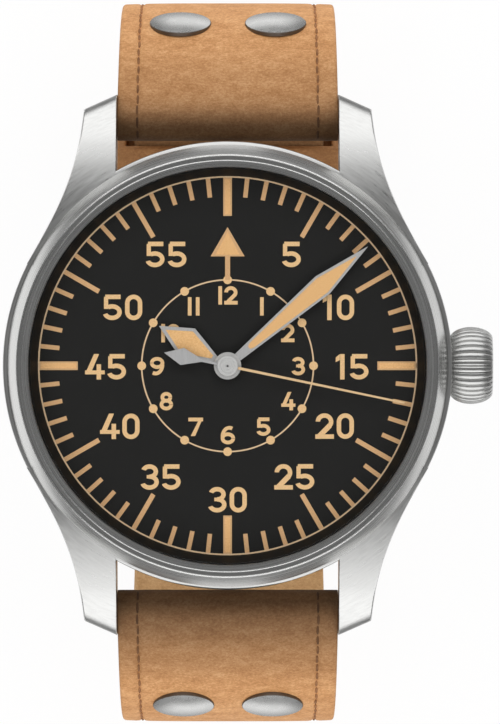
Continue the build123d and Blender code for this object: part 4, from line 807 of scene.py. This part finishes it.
# %% [markdown]
# ## Hands
# The hour and minute hands are flat steel frames filled with lume, each on a round boss. The seconds
# hand is one stamped strip: a painted needle on one side, a bare lozenge as its balance on the other,
# and a turned hub over the staff. All are flat, so the strokes of the dial serve here too. They are
# drawn at twelve and turned to their clock angle, and each rides on the body of its own wheel.

# %% Hour and minute hand
hour_angle, minute_angle = 300.2, 49.6
hand_thick, hand_lume_high = 0.14, 0.03
boss_r = 1.29


def hand_piece(name, strokes, z0, z1, finish, angle, body, replaced=()):
    """A flat piece of a hand from strokes drawn at twelve: x' = x cos a + y sin a and
    y' = y cos a - x sin a turn it to its clock angle."""
    points, faces = gather([stroke_solid(edges, z0, z1) for edges in strokes])
    x, y, z = points.T
    a = radians(angle)
    points = np.stack([x * cos(a) + y * sin(a), y * cos(a) - x * sin(a), z], axis=1)
    piece(name, points, faces, finish, body, replaced)


def lozenge(*stations):
    """A stroke up the hand from stations of distance and half width."""
    reach, half_wide = np.array(stations).T
    return [np.stack([-half_wide, reach], axis=1), np.stack([half_wide, reach], axis=1)]


hands = {
    "hour": (hour_angle, "hours", lozenge((0.0, 0.22), (1.3, 0.3), (4.42, 1.5), (7.44, 0.02)),
             lozenge((1.66, 0.17), (4.44, 1.16), (6.72, 0.02))),
    "minute": (minute_angle, "minutes", lozenge((0.0, 0.32), (1.3, 0.4), (11.75, 1.05), (17.3, 0.02)),
               lozenge((2.65, 0.16), (3.0, 0.3), (11.72, 0.84), (15.85, 0.03))),
}
for hand, (angle, body, outline, filling) in hands.items():
    z1 = high(hand + "_hand", 2)
    z0 = z1 - hand_thick
    hand_piece(hand + "_frame", [outline], z0, z1, hand_steel, angle, body, [hand + "_hand"])
    hand_piece(hand + "_lume", [filling], z0, z1 + hand_lume_high, lume_orange, angle, body,
               [hand + "_hand_lume"])
    boss = [(0, z0), (boss_r, z0), (boss_r, z1 - 0.04), (boss_r - 0.04, z1 + 0.02), (0, z1 + 0.02)]
    piece(hand + "_boss", *turned_cap(boss), hub_steel, body)

# %% Seconds hand
seconds_angle = 101.8
needle_foot, hub_top = low("seconds_hand", 2), high("seconds_hand", 2)
needle_top = needle_foot + 0.12
hub_r, hub_round = 1.0, 0.05
groove_deep, groove_side = 0.05, 0.03

needle = quad((-0.125, 0), (-0.09, 17.0), (0.09, 17.0), (0.125, 0))
hand_piece("seconds_needle", [needle], needle_foot, needle_top, needle_tan, seconds_angle, "seconds",
           ["seconds_hand"])
tail = [quad((-0.125, -2.45), (-0.125, 0), (0.125, 0), (0.125, -2.45)),
        quad((-0.12, -2.45), (-0.82, -4.35), (0.82, -4.35), (0.12, -2.45)),
        quad((-0.82, -4.35), (0, -6.1), (0, -6.1), (0.82, -4.35))]
hand_piece("seconds_counterweight", tail, needle_foot, needle_top, hand_steel, seconds_angle, "seconds")


def hub_groove(r0, r1):
    """Four outline points of a groove between two radii."""
    foot = hub_top - groove_deep
    return [(r0, hub_top), (r0 - groove_side, foot), (r1 + groove_side, foot), (r1, hub_top)]


hub_outline = [
    (0, needle_foot), (hub_r, needle_foot), (hub_r, hub_top - hub_round), (hub_r - hub_round, hub_top),
    *hub_groove(0.74, 0.63), *hub_groove(0.45, 0.33),
    (0.15, hub_top), (0.12, hub_top - 2 * groove_deep), (0, hub_top - 2 * groove_deep)]
piece("seconds_hub", *turned_cap(hub_outline), hub_steel, "seconds")
pin_outline = [(0, hub_top - 0.06), (0.09, hub_top - 0.06), (0.08, hub_top - 0.02), (0, hub_top - 0.01)]
piece("seconds_pin", *turned_cap(pin_outline, 24), polished_steel, "seconds")

# %% [markdown]
# ## Crown
# The crown has to give grip, so its rim is cut into rounded ribs that run along the stem, and both
# ends are rounded off. Ribs could be cut from a disc one by one. One surface is shorter: it is a
# function of the distance along the stem and the turn, a barrel-shaped radius less a valley that
# follows a curve across each rib.

# %% Crown
crown_x0, crown_x1 = low("crown", 0) - 0.25, high("crown", 0) - 0.1
crown_r, crown_end_r = (high("crown", 1) - low("crown", 1)) / 2, 2.7
stem_z = joint_place("stem_turn")[2]
ribs, rib_deep = 34, 0.2
bow_power, valley_power, fade_power = 0.6, 0.9, 0.7
fade_share = 0.2
end_rings = np.array([0.9, 0.55, 0.0])


def crown_points(along_count=48, per_rib=10):
    """Radius = bow(x) - valley(turn) * fade(x): the bow is an arc over the length, the valley is deep
    between ribs, and it fades at the ends where the ribs run out into a rounded shoulder. Smaller and
    smaller rings close both ends."""
    share = (1 - np.cos(np.linspace(0, pi, along_count))) / 2
    turn = np.linspace(0, 2 * pi, ribs * per_rib, endpoint=False)
    centred = 2 * share - 1
    bow = crown_end_r + (crown_r - crown_end_r) * (1 - centred**2) ** bow_power
    phase = (turn * ribs / (2 * pi)) % 1 * 2 - 1
    valley = rib_deep * (1 - np.sqrt(np.clip(1 - phase**2, 0, 1)) ** valley_power)
    fade = np.clip((1 - np.abs(centred)) / fade_share, 0, 1) ** fade_power
    r = bow[:, None] - valley[None] * fade[:, None]
    x = crown_x0 + (crown_x1 - crown_x0) * share
    rows = np.stack([x[:, None] + 0 * r, r * np.sin(turn)[None], stem_z + r * np.cos(turn)[None]], axis=-1)

    def closing(row, x):
        """Rings that shrink from a row to a point on the stem: row + (point - row)(1 - share)."""
        return row + (np.array([x, 0, stem_z]) - row) * (1 - end_rings[:, None, None])

    return np.concatenate([closing(rows[0], crown_x0)[::-1], rows, closing(rows[-1], crown_x1)])


crown_grid = crown_points()
crown_faces = grid_faces(*crown_grid.shape[:2], False, True)
piece("crown_grip", crown_grid, crown_faces, crown_steel, "crown", ["crown"])

# %% [markdown]
# ## Strap
# Each half of the strap is leather folded round its spring bar and lined with a second skin. Bending a
# flat strip with modifiers would leave its length and its thickness to chance, so a side view gives
# the path of the leather's outer face instead: along the flap inside the loop, round the bar, down the
# loop and along the sole. A cross-section, with rounded edges and a shallow groove for the thread, is
# carried along that path.

# %% Side path
loop_y, loop_z = joint_place("keeper_slide")[1:]
buckle_y, buckle_z = joint_place("tongue_lift")[1:]
loop_r = high("strap_upper_leather", 1) - loop_y
sole_z = loop_z - loop_r
spring_bar_r = 0.75
bar_y = high("spring_bars", 1) - spring_bar_r
bar_z = (high("spring_bars", 2) + low("spring_bars", 2)) / 2
leather_thick, lining_thick, flap_thick, skived_thick = 1.4, 1.2, 1.3, 1.0
strap_thick = leather_thick + lining_thick
fold_r = 1.95
flap_end, tail_end = 78.0, 128.0
bar_turn = degrees(asin((bar_y - loop_y) / (loop_r - fold_r)))
bar_centre, loop_centre = (bar_y, bar_z), (loop_y, loop_z)
print(f"loop radius {loop_r:.2f} at ({loop_y:.2f}, {loop_z:.2f}), bar turn {bar_turn:.1f}, bar y {bar_y:.2f}")


# %% Paths
def turn_arc(centre, r, turn0, turn1):
    """Points (y, z) round a centre, the turn counted from straight up towards twelve o'clock."""
    turn = np.radians(np.linspace(turn0, turn1, 60))
    return np.stack([centre[0] + r * np.sin(turn), centre[1] + r * np.cos(turn)], axis=1)


def even_path(runs, step=0.5, smooth=0):
    """One path through several runs, at even steps of its length, and the length at each of its points.
    Smooth says how often each point is averaged with its neighbours."""
    raw = np.concatenate(runs)
    apart = np.linalg.norm(np.diff(raw, axis=0), axis=1) > 1e-6
    raw = raw[np.concatenate([[True], apart])]
    length = np.concatenate([[0], np.cumsum(np.linalg.norm(np.diff(raw, axis=0), axis=1))])
    where = np.linspace(0, length[-1], int(length[-1] / step) + 1)
    path = np.stack([np.interp(where, length, raw[:, k]) for k in (0, 1)], axis=1)
    for _ in range(smooth):
        path[1:-1] = (path[:-2] + 2 * path[1:-1] + path[2:]) / 4
    return path, where


def directions(path):
    """Two unit vectors at each point of a path: across it, a quarter turn to the left, and along it."""
    along = np.gradient(path, axis=0)
    along /= np.linalg.norm(along, axis=1, keepdims=True)
    return np.stack([-along[:, 1], along[:, 0]], axis=1), along


flap_r, lining_r = loop_r - 2 * fold_r, loop_r - leather_thick
fold_runs = [
    turn_arc(loop_centre, flap_r, flap_end, bar_turn),
    turn_arc(bar_centre, fold_r, bar_turn - 180, bar_turn),
    turn_arc(loop_centre, loop_r, bar_turn, 180),
]
fold_start = radians(flap_end - bar_turn) * flap_r
fold_end = fold_start + pi * fold_r
loop_end = fold_end + radians(180 - bar_turn) * loop_r
print(f"the leather turns over the bar from {fold_start:.1f} to {fold_end:.1f} mm of its length")

# %% Cross-section and sweep
edge_steps = np.array([0.0, 0.03, 0.1, 0.22, 0.4, 0.8, 1.3, 1.6, 1.74, 1.9, 2.06, 2.2, 2.5, 3.2])
edge_round, edge_drop = 0.3, 0.12
thread_inset, thread_groove, groove_wide = 1.9, 0.17, 0.22
middle_points, middle_inset = 12, 0.4
foot_share = 0.99
sole_wide, loop_wide, lug_wide = 18.6, 20.4, 20.94
open_lead, open_run, open_least = 1.5, 6, 0.1
tail_tip, tip_narrow = 6.0, 0.7


def section(width, thick, groove, worn_round):
    """Offsets across and depths below the outer face, round the cross-section of one layer.
    The edge falls away as a quarter circle, and the groove is a narrow bell at the thread."""
    half_wide = width / 2
    left = -half_wide + edge_steps[None]
    middle = np.linspace(-1, 1, middle_points)[None] * (half_wide - edge_steps[-1] - middle_inset)
    across = np.concatenate([left, middle, -left[:, ::-1]], axis=1)
    inside = half_wide - np.abs(across)
    fall = round_fall(np.minimum(inside, edge_round), edge_round)
    fall = fall + edge_drop * (np.abs(across) / half_wide) ** 4
    bell = groove * np.exp(-((inside - thread_inset) / groove_wide) ** 2)
    outer = np.stack([across, fall * worn_round + bell], axis=-1)
    inner = np.stack([across[:, ::-1][:, ::4], thick + 0 * across[:, ::4]], axis=-1)
    inner[:, [0, -1], 0] *= foot_share
    return np.concatenate([outer, inner], axis=1)


def strap_width(path):
    """Width of the strap at each point: it narrows from the lugs to the silhouette and on to the sole."""
    return np.interp(path[:, 1], [sole_z, loop_z, bar_z + fold_r], [sole_wide, loop_wide, lug_wide])


def open_share(path):
    """How flat the leather lies: little where it turns over the bar, and fully a run further on."""
    return np.clip((path[:, 0] - bar_y + open_lead) / open_run, open_least, 1)


def swept(path, thick, groove=0.0, side=1, tip=0.0):
    """The section carried along a path: X is its offset across, and (y, z) is the path less its depth
    along the normal. The groove fades out where the leather turns over the bar. A tip narrows the end
    as the quarter of an ellipse, and side -1 mirrors the strap to six o'clock."""
    share = open_share(path)[:, None]
    shape = section(strap_width(path)[:, None], thick[:, None], groove * share, share)
    if tip:
        left = np.clip(np.linalg.norm(path - path[-1], axis=1) / tip, 0, 1)
        shape[..., 0] *= (1 - tip_narrow * (1 - np.sqrt(1 - (1 - left) ** 2)))[:, None]
    yz = path[:, None] - directions(path)[0][:, None] * shape[..., 1:]
    points = np.concatenate([shape[..., :1], yz * (side, 1)], axis=-1)
    return points, capped(points)


print("points round one cross-section:", section(20.0, 1.4, thread_groove, 1.0).shape[1])

# %% [markdown]
# ## Leather
# Vegetable-tanned leather has soft patches, a fine grain of pores and small creases. Patches and grain
# are noise of two scales mixed into one ramp of colours. Shade is also painted into the colour: dark
# where the leather folds over the bar and on the flap inside the loop, lighter towards the bend. This
# painted shade follows the strap's own length, which object coordinates don't know, so it is worked
# out along the path, kept as a number on each point, and multiplied in by the finish.


# %% Leather
def leather_finish(name, base, light, dark, roughness=0.62, takes_painted_shade=False):
    """Matt leather: soft patches, a fine grain of pores and small creases, the last two also as relief.
    Leather that takes painted shade is multiplied by the painted shade of its points."""
    finish = Finish(name, colour(*base), roughness)
    patches = finish.noise(finish.place((0.7, 1.1, 1.1)), 0.7, detail=6.0, rough=0.7)
    grain = finish.noise(finish.place((1.1, 1.4, 1.4)), 3.2, detail=5.0, rough=0.8)
    creases = finish.noise(finish.place((0.6, 2.2, 2.2)), 1.2, detail=5.0, rough=0.6)
    blend = finish.maths("MULTIPLY_ADD", grain, 0.62, finish.maths("MULTIPLY", patches, 0.38))
    shade = finish.ramp(blend, (0.38, colour(*dark)), (0.5, finish.base), (0.62, colour(*light)))
    finish.shade({"Base Color": finish.times_painted_shade(shade) if takes_painted_shade else shade, "Specular IOR Level": 0.2})
    finish.bump(grain, 0.05, 0.6, below=finish.bump(creases, 0.07, 0.5))
    return finish.material


# The strap's leather takes painted shade: darker at the fold and in the loop.
leather = leather_finish("tan_leather", (219, 160, 105), (244, 190, 136), (190, 132, 80), takes_painted_shade=True)
lining = leather_finish("pale_lining", (202, 160, 112), (216, 178, 132), (184, 142, 96), roughness=0.7)
# The upper lining is a darker copy of the pale lining: painted shade for the gap inside the loop at twelve.
lining_painted_shade = leather_finish("lining_painted_shade", (148, 110, 74), (164, 124, 86), (130, 94, 62),
                              roughness=0.7)
band_leather = leather_finish("band_leather", (158, 112, 70), (176, 128, 84), (136, 94, 58))
# The thread takes the same painted shade as the leather.
thread = speckled("brown_thread", (138, 94, 60), (176, 126, 84), 0.7, 1.6,
                   relief=0.01, takes_painted_shade=True)

# %% Painted shade and thickness along the strap
# Painted shade: factors on the leather's colour at places along Y, darkest at the fold over the bar.
painted_shade_y = [21.8, 22.3, 22.8, 23.3, 23.8, 24.3, 25.1, 26.1, 27.5, 28.4, 29.3, 30.3, 31.5, 33.1, 34.5]
upper_painted_shade = [0.17, 0.14, 0.16, 0.23, 0.31, 0.42, 0.52, 0.60, 0.64, 0.69, 0.75, 0.81, 0.86, 0.92, 1.0]
lower_painted_shade = [0.18, 0.13, 0.15, 0.18, 0.23, 0.28, 0.32, 0.40, 0.54, 0.59, 0.69, 0.82, 0.89, 0.90, 0.94]
flap_painted_shade, sole_painted_shade, painted_shade_run = 0.36, 0.85, 12.0
skive_run, hem_run, hem_thick, tail_run = 1, 1.5, 0.5, 8


def fold_painted_shade(path, length, table, columns=1):
    """Painted shade along the strap: dark at the fold over the bar, rising from there to the bend of the
    loop, even below the bend, and rather dark on the flap inside. Each row's value is given to its columns."""
    under_bend = np.interp(loop_z - path[:, 1], [0, painted_shade_run], [table[-1], sole_painted_shade])
    painted_shade = np.where(path[:, 1] > loop_z, np.interp(path[:, 0], painted_shade_y, table), under_bend)
    return np.repeat(np.where(length < fold_start, flap_painted_shade, painted_shade), columns)


def leather_depth(length, thin_from, thin_to, thin):
    """Thickness along the leather: the flap, then skived round the spring bar, then full, and thinned
    again between two lengths."""
    stops = [0, fold_start, fold_start + skive_run, fold_end - skive_run, fold_end, thin_from, thin_to]
    depths = [flap_thick, flap_thick, skived_thick, skived_thick, leather_thick, leather_thick, thin]
    return np.interp(length, stops, depths)


print("wear at the fold and at the bend:", min(upper_painted_shade), upper_painted_shade[-1])

# %% Upper half
upper_path, upper_length = even_path(fold_runs + [
    np.array([[loop_y, sole_z], [buckle_y, sole_z]]),
    turn_arc((buckle_y, buckle_z), strap_thick / 2, 180, 360),
])
upper_sole_end = upper_length[-1] - pi * strap_thick / 2
depth = leather_depth(upper_length, upper_sole_end - hem_run, upper_sole_end, hem_thick)
points, faces = swept(upper_path, depth, thread_groove)
# Painted shade for each point of the upper skin.
painted_shade = fold_painted_shade(upper_path, upper_length, upper_painted_shade, points.shape[1])
piece("strap_upper_skin", points, faces, leather, replaced=["strap_upper_leather"], painted_shade=painted_shade)

# %% Lining of the upper half
lining_delay, buckle_gap = 1.0, 0.1
lining_start = bar_turn + degrees(fold_r / loop_r) + lining_delay
lining_arc = turn_arc(loop_centre, lining_r, lining_start, 180)
lining_z, lining_end = loop_z - lining_r, buckle_y + strap_thick / 2 + buckle_gap
path, length = even_path([lining_arc, np.array([[loop_y, lining_z], [lining_end, lining_z]])])
points, faces = swept(path, np.full(len(path), lining_thick))
# The upper lining takes the darker copy of the lining: painted shade.
piece("strap_upper_inside", points, faces, lining_painted_shade, replaced=["strap_upper_lining"])

# %% [markdown]
# ## The long half
# The half with the holes runs the other way round the loop, passes down through the buckle frame and
# lies below the short half, held by the keepers. Its path is worked out on the twelve o'clock side
# and mirrored, so that both halves share one fold.

# %% Lower half
tail_thick, layer_gap = 2.2, 0.15
ramp_start, ramp_end = 9.5, 3.5
tail_level = layer_gap + tail_thick
tail_z = sole_z - tail_level
tail_centre, tail_r = (-loop_y, loop_z), loop_r + tail_level
tail_path, tail_length = even_path(fold_runs + [
    np.array([[loop_y, sole_z], [ramp_start, sole_z], [ramp_end, tail_z], [-loop_y, tail_z]]),
    turn_arc(tail_centre, tail_r, 180, 360 - tail_end),
], smooth=3)
depth = leather_depth(tail_length, loop_end, loop_end + tail_run, tail_thick / 2)
points, faces = swept(tail_path, depth, thread_groove, -1, tail_tip)
# Painted shade for each point of the lower skin.
painted_shade = fold_painted_shade(tail_path, tail_length, lower_painted_shade, points.shape[1])
piece("strap_lower_skin", points, faces, leather, replaced=["strap_lower_leather"], painted_shade=painted_shade)

# %% Lining of the lower half
tail_lining_z = tail_z + tail_thick / 2
path, length = even_path([
    lining_arc,
    np.array([[loop_y, lining_z], [ramp_start, lining_z],
              [ramp_end, tail_lining_z], [-loop_y, tail_lining_z]]),
    turn_arc(tail_centre, tail_r - tail_thick / 2, 180, 360 - tail_end),
], smooth=3)
lining_loop_end = radians(180 - lining_start) * lining_r
depth = np.interp(length, [lining_loop_end, lining_loop_end + tail_run], [lining_thick, tail_thick / 2])
points, faces = swept(path, depth, side=-1, tip=tail_tip)
piece("strap_lower_inside", points, faces, lining, replaced=["strap_lower_lining"])

# %% [markdown]
# ## Stitches
# A saddle stitch shows as short dashes of waxed thread in a groove. A dashed texture would do from far
# away, but it has no roundness in a low light. One dash is a capsule of a few rings of points, and
# copies of it are set along the path at an even pitch, half sunk, all in one array.

# %% Stitches
stitch_pitch, stitch_long, stitch_r = 1.3, 1.06, 0.105
stitch_lead, stitch_stray = 2.6, 0.03
stitch_rings = np.array([-1, -0.85, -0.4, 0.4, 0.85, 1])
ring_points = 8


def stitches(name, path, length, end, side, table):
    """Capsules along both edges of a path: each point is the stitch's place, moved along the path by
    its share u of half the length, and round that line by a radius of r sqrt(1.02 - u^4)."""
    places = np.arange(fold_end - stitch_lead, end, stitch_pitch)

    def at_places(values):
        """A vector at each stitch, read off at its length."""
        return np.stack([np.interp(places, length, column) for column in values.T], axis=1)[:, None, None]

    at_path, normal, along = at_places(path), *map(at_places, directions(path))
    sunk = thread_groove * np.interp(places, length, open_share(path))[:, None, None]
    turn = np.linspace(0, 2 * pi, ring_points, endpoint=False)
    r = stitch_r * np.sqrt(np.clip(1.02 - stitch_rings**4, 0, 1))[:, None]
    height = r * np.sin(turn) - sunk
    span = (stitch_rings * stitch_long / 2)[None, :, None, None]
    yz = (at_path + along * span + normal * height[..., None]) * (side, 1)
    reach = np.interp(places, length, strap_width(path)) / 2 - thread_inset
    reach += np.arange(len(places)) % 3 * stitch_stray - stitch_stray
    x = [edge * reach[:, None, None] + r * np.cos(turn) for edge in (-1, 1)]
    points = np.concatenate([np.concatenate([some[..., None], yz], axis=-1) for some in x])
    shift = np.arange(len(points))[:, None, None] * points[0, ..., 0].size
    faces = [(block + shift).reshape(-1, block.shape[1]) for block in capped(points[0])]
    # Each stitch takes the painted shade of the leather at its place.
    painted_shade = np.interp(places, length, fold_painted_shade(path, length, table))
    piece(name, points, faces, thread, painted_shade=np.repeat(np.tile(painted_shade, 2), points[0, ..., 0].size))


stitches("strap_upper_thread", upper_path, upper_length, upper_sole_end - 1, 1, upper_painted_shade)
stitches("strap_lower_thread", tail_path, tail_length, tail_length[-1] - tail_tip, -1, lower_painted_shade)

# %% [markdown]
# ## Rivets
# Two domed rivets clamp the layers at each lug end. Half a sphere would be too steep at its edge for
# such a flat head, so the dome falls with the square of its radius. It is turned round its own axis;
# a thin rim under it is near-black steel, a painted shadow line, and both sit on the curve of the strap.

# %% Rivets
rivet_r, rivet_high = 2.88, 0.5
rim_r, rim_high, rim_foot, rim_edge = 2.93, 0.13, -0.25, 0.04
seat_turn, rivet_lean = {1: 64.5, -1: 65.3}, {1: 68.5, -1: 66.5}
rivet_x = {1: 4.57, -1: 4.27}
out_share = np.linspace(1, 0, 14)
dome = np.stack([rivet_r * out_share, rim_high + (rivet_high - rim_high) * (1 - out_share**2)], axis=1)
dome = np.vstack([[0.0, 0.0], [rivet_r, 0.0], dome])
rim = [(0, rim_foot), (rim_r, rim_foot), (rim_r, rim_high - rim_edge),
       (rim_r - rim_edge, rim_high), (0, rim_high)]


def set_on_strap(outline, x, side):
    """A turned outline brought to the strap: tipped by the rivet's lean and moved to its seat."""
    points, faces = turned_cap(outline, 64)
    lean, seat = radians(rivet_lean[side]), radians(seat_turn[side])
    px, py, pz = points.reshape(-1, 3).T
    y = loop_y + loop_r * sin(seat) + py * cos(lean) + pz * sin(lean)
    z = loop_z + loop_r * cos(seat) - py * sin(lean) + pz * cos(lean)
    return np.stack([px + x, y * side, z], axis=1), faces


seats = [(across * rivet_x[side], side) for across in (-1, 1) for side in (-1, 1)]
heads = gather([set_on_strap(dome, *seat) for seat in seats])
piece("rivet_heads", *heads, rivet_steel, replaced=["rivets"])
# The rims are near-black: a painted shadow line round the edge of each dome.
piece("rivet_shadow_rims", *gather([set_on_strap(rim, *seat) for seat in seats]), painted_shadow_steel)

# %% [markdown]
# ## Keepers and buckle
# The keepers are narrow leather bands, and the buckle is a bent and ground steel frame with its
# tongue. Their solids have the right shape, only their edges are too sharp, so drawing them anew would
# gain nothing. A copy's loose triangles are joined, its flat areas are merged, and a bevel breaks the
# edges. The keepers are also widened a little, to pass round the dressed strap.

# %% Keepers and buckle
keeper_widening, keeper_side = 0.5, 9.5


def softened(node, width, finish, body="watch"):
    """A joined copy of a solid with its sharp edges rounded to a width in millimetres. Points within
    0.002 mm become one, and faces that lie within 0.6 degrees of each other are merged."""
    mesh = nodes[node].data.copy()
    made = bmesh.new()
    made.from_mesh(mesh)
    bmesh.ops.remove_doubles(made, verts=made.verts, dist=0.002 * mm)
    bmesh.ops.dissolve_limit(made, angle_limit=radians(0.6), verts=made.verts, edges=made.edges)
    made.to_mesh(mesh)
    made.free()
    mesh.materials.clear()
    mesh.materials.append(finish)
    smooth_mesh(mesh)
    obj = linked(node + "_finished", mesh)
    edge = obj.modifiers.new("broken_edge", "BEVEL")
    edge.width = width * mm
    edge.segments = 3
    edge.limit_method = "ANGLE"
    edge.angle_limit = sharp_turn
    edge.harden_normals = True
    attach(obj, body)
    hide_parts(node)
    print(f"{obj.name}: {len(mesh.polygons)} faces, rides on {body}")
    return mesh


for keeper, body in (("keeper_fixed", "watch"), ("keeper_free", "keeper")):
    mesh = softened(keeper, 0.3, band_leather, body)
    place = np.empty(3 * len(mesh.vertices))
    mesh.vertices.foreach_get("co", place)
    x = place[0::3]
    x += np.sign(x) * keeper_widening * mm * (np.abs(x) > keeper_side * mm)
    mesh.vertices.foreach_set("co", place)
    print(keeper, "half width", round(np.abs(x).max() / mm, 2))
softened("buckle_frame", 0.35, satin_steel)
softened("buckle_tongue", 0.2, satin_steel, "tongue")

# %% [markdown]
# ## Floor, lamps and world
# The floor shows white to the camera and keeps a soft shadow. Metal shows what it reflects, and a
# studio sets white and dark cards round a watch for that. Here the floor itself is the cards: where a
# reflection meets it, it is white beside the watch and far off, and dark between. Two large lamps, at
# twelve and at six, give the satin steel its broad shades, and two more at the sides fill the rest
# without showing in the metal.

# %% Floor
floor_half = 1500.0
paper_white = 0.86
paper = Finish("floor_paper", (paper_white,) * 3, 0.8)


def step_up(value, start, end, near, far):
    """A number that changes from near to far while a distance in millimetres goes from start to end."""
    return paper.mapped(value, (start, end), (near, far), interpolation_type="SMOOTHSTEP")


def product(value, *others):
    """Several numbers multiplied."""
    for other in others:
        value = paper.maths("MULTIPLY", value, other)
    return value


def glossy_floor():
    """How bright the floor is in a reflection: the greatest of three cards, each a product of its
    edges. The side card is white beside the watch at three and nine, the far card is white at twelve
    and six, and the near card is what the rivets and the strap's bend show."""
    x, y, _ = paper.parts(paper.place())
    off_x, off_y = paper.maths("ABSOLUTE", x), paper.maths("ABSOLUTE", y)
    side_ends, side_limit = step_up(off_y, 50, 70, 1.0, 0.0), step_up(off_x, 170, 260, 1.0, 0.0)
    more_at_left, less_under_watch = step_up(x, -60, 60, 1.3, 1.05), step_up(off_x, 12, 30, 0.1, 1.0)
    near_limit, near_start = step_up(off_y, 86, 104, 1.3, 0.0), step_up(off_y, 46, 74, 0.25, 1.0)
    near_sides = step_up(off_x, 9, 18, 1.0, 0.0)
    side = product(side_ends, side_limit, more_at_left, less_under_watch)
    near = product(near_limit, near_start, near_sides)
    far = step_up(off_y, 150, 240, 0.12, 1.15)
    return paper.maths("MAXIMUM", paper.maths("MAXIMUM", side, far), near)


camera_ray = paper.node("LightPath", output="Is Camera Ray")
glossy_ray = paper.node("LightPath", output="Is Glossy Ray")
glow = paper.node("Mix", {"Factor": glossy_ray, "A": 1.03, "B": glossy_floor()}, "Result", data_type="FLOAT")
white = paper.node("Emission", {"Strength": glow})
share = paper.maths("MULTIPLY", paper.maths("MAXIMUM", camera_ray, glossy_ray), paper_white)
paper.surface(paper.node("MixShader", {"Fac": share, 1: paper.shader.outputs[0], 2: white}))
floor_mesh = bpy.data.meshes.new("floor")
corners = np.array([(-1, -1, 0), (1, -1, 0), (1, 1, 0), (-1, 1, 0)]) * floor_half + (0, 0, floor_z)
floor_mesh.from_pydata((corners * mm).tolist(), [], [(0, 1, 2, 3)])
floor_mesh.materials.append(paper.material)
linked("floor", floor_mesh)
print(f"floor at {floor_z:.2f} mm")

# %% Lamps
lamp_reach = 800.0


def lamp(name, clock, height, wide, tall, glow):
    """A broad lamp that faces the dial, at a clock angle and an angle above the table.
    Its power is pi times its area times the brightness that it shows in a mirror."""
    data = bpy.data.lights.new(name, "AREA")
    data.shape = "RECTANGLE"
    data.size, data.size_y = wide * mm, tall * mm
    data.energy = pi * data.size * data.size_y * glow
    flat = clock_point(clock, lamp_reach * cos(radians(height)))
    obj = linked(name, data)
    obj.location = Vector((*flat, lamp_reach * sin(radians(height)))) * mm
    obj.rotation_mode = "QUATERNION"
    obj.rotation_quaternion = (-obj.location).to_track_quat("-Z", "Y")
    obj.visible_camera = False
    print(f"{name}: {data.energy:.2f} W")
    return obj


lamp("upper_lamp", clock=0, height=30, wide=1120, tall=900, glow=1.42)
lamp("lower_lamp", clock=180, height=30, wide=1120, tall=900, glow=1.44)
for name, clock in (("left_fill", 275), ("right_fill", 85)):
    lamp(name, clock, height=58, wide=920, tall=520, glow=1.5).visible_glossy = False

# %% World
world = bpy.data.worlds.new("studio")
bpy.context.scene.world = world
world.use_nodes = True
sky = world.node_tree.nodes["Background"]
sky.inputs["Color"].default_value = (1.0, 1.0, 1.0, 1.0)
sky.inputs["Strength"].default_value = 0.18
bpy.context.scene.view_settings.view_transform = "Standard"
print("sky strength:", round(sky.inputs["Strength"].default_value, 2))

# %% [markdown]
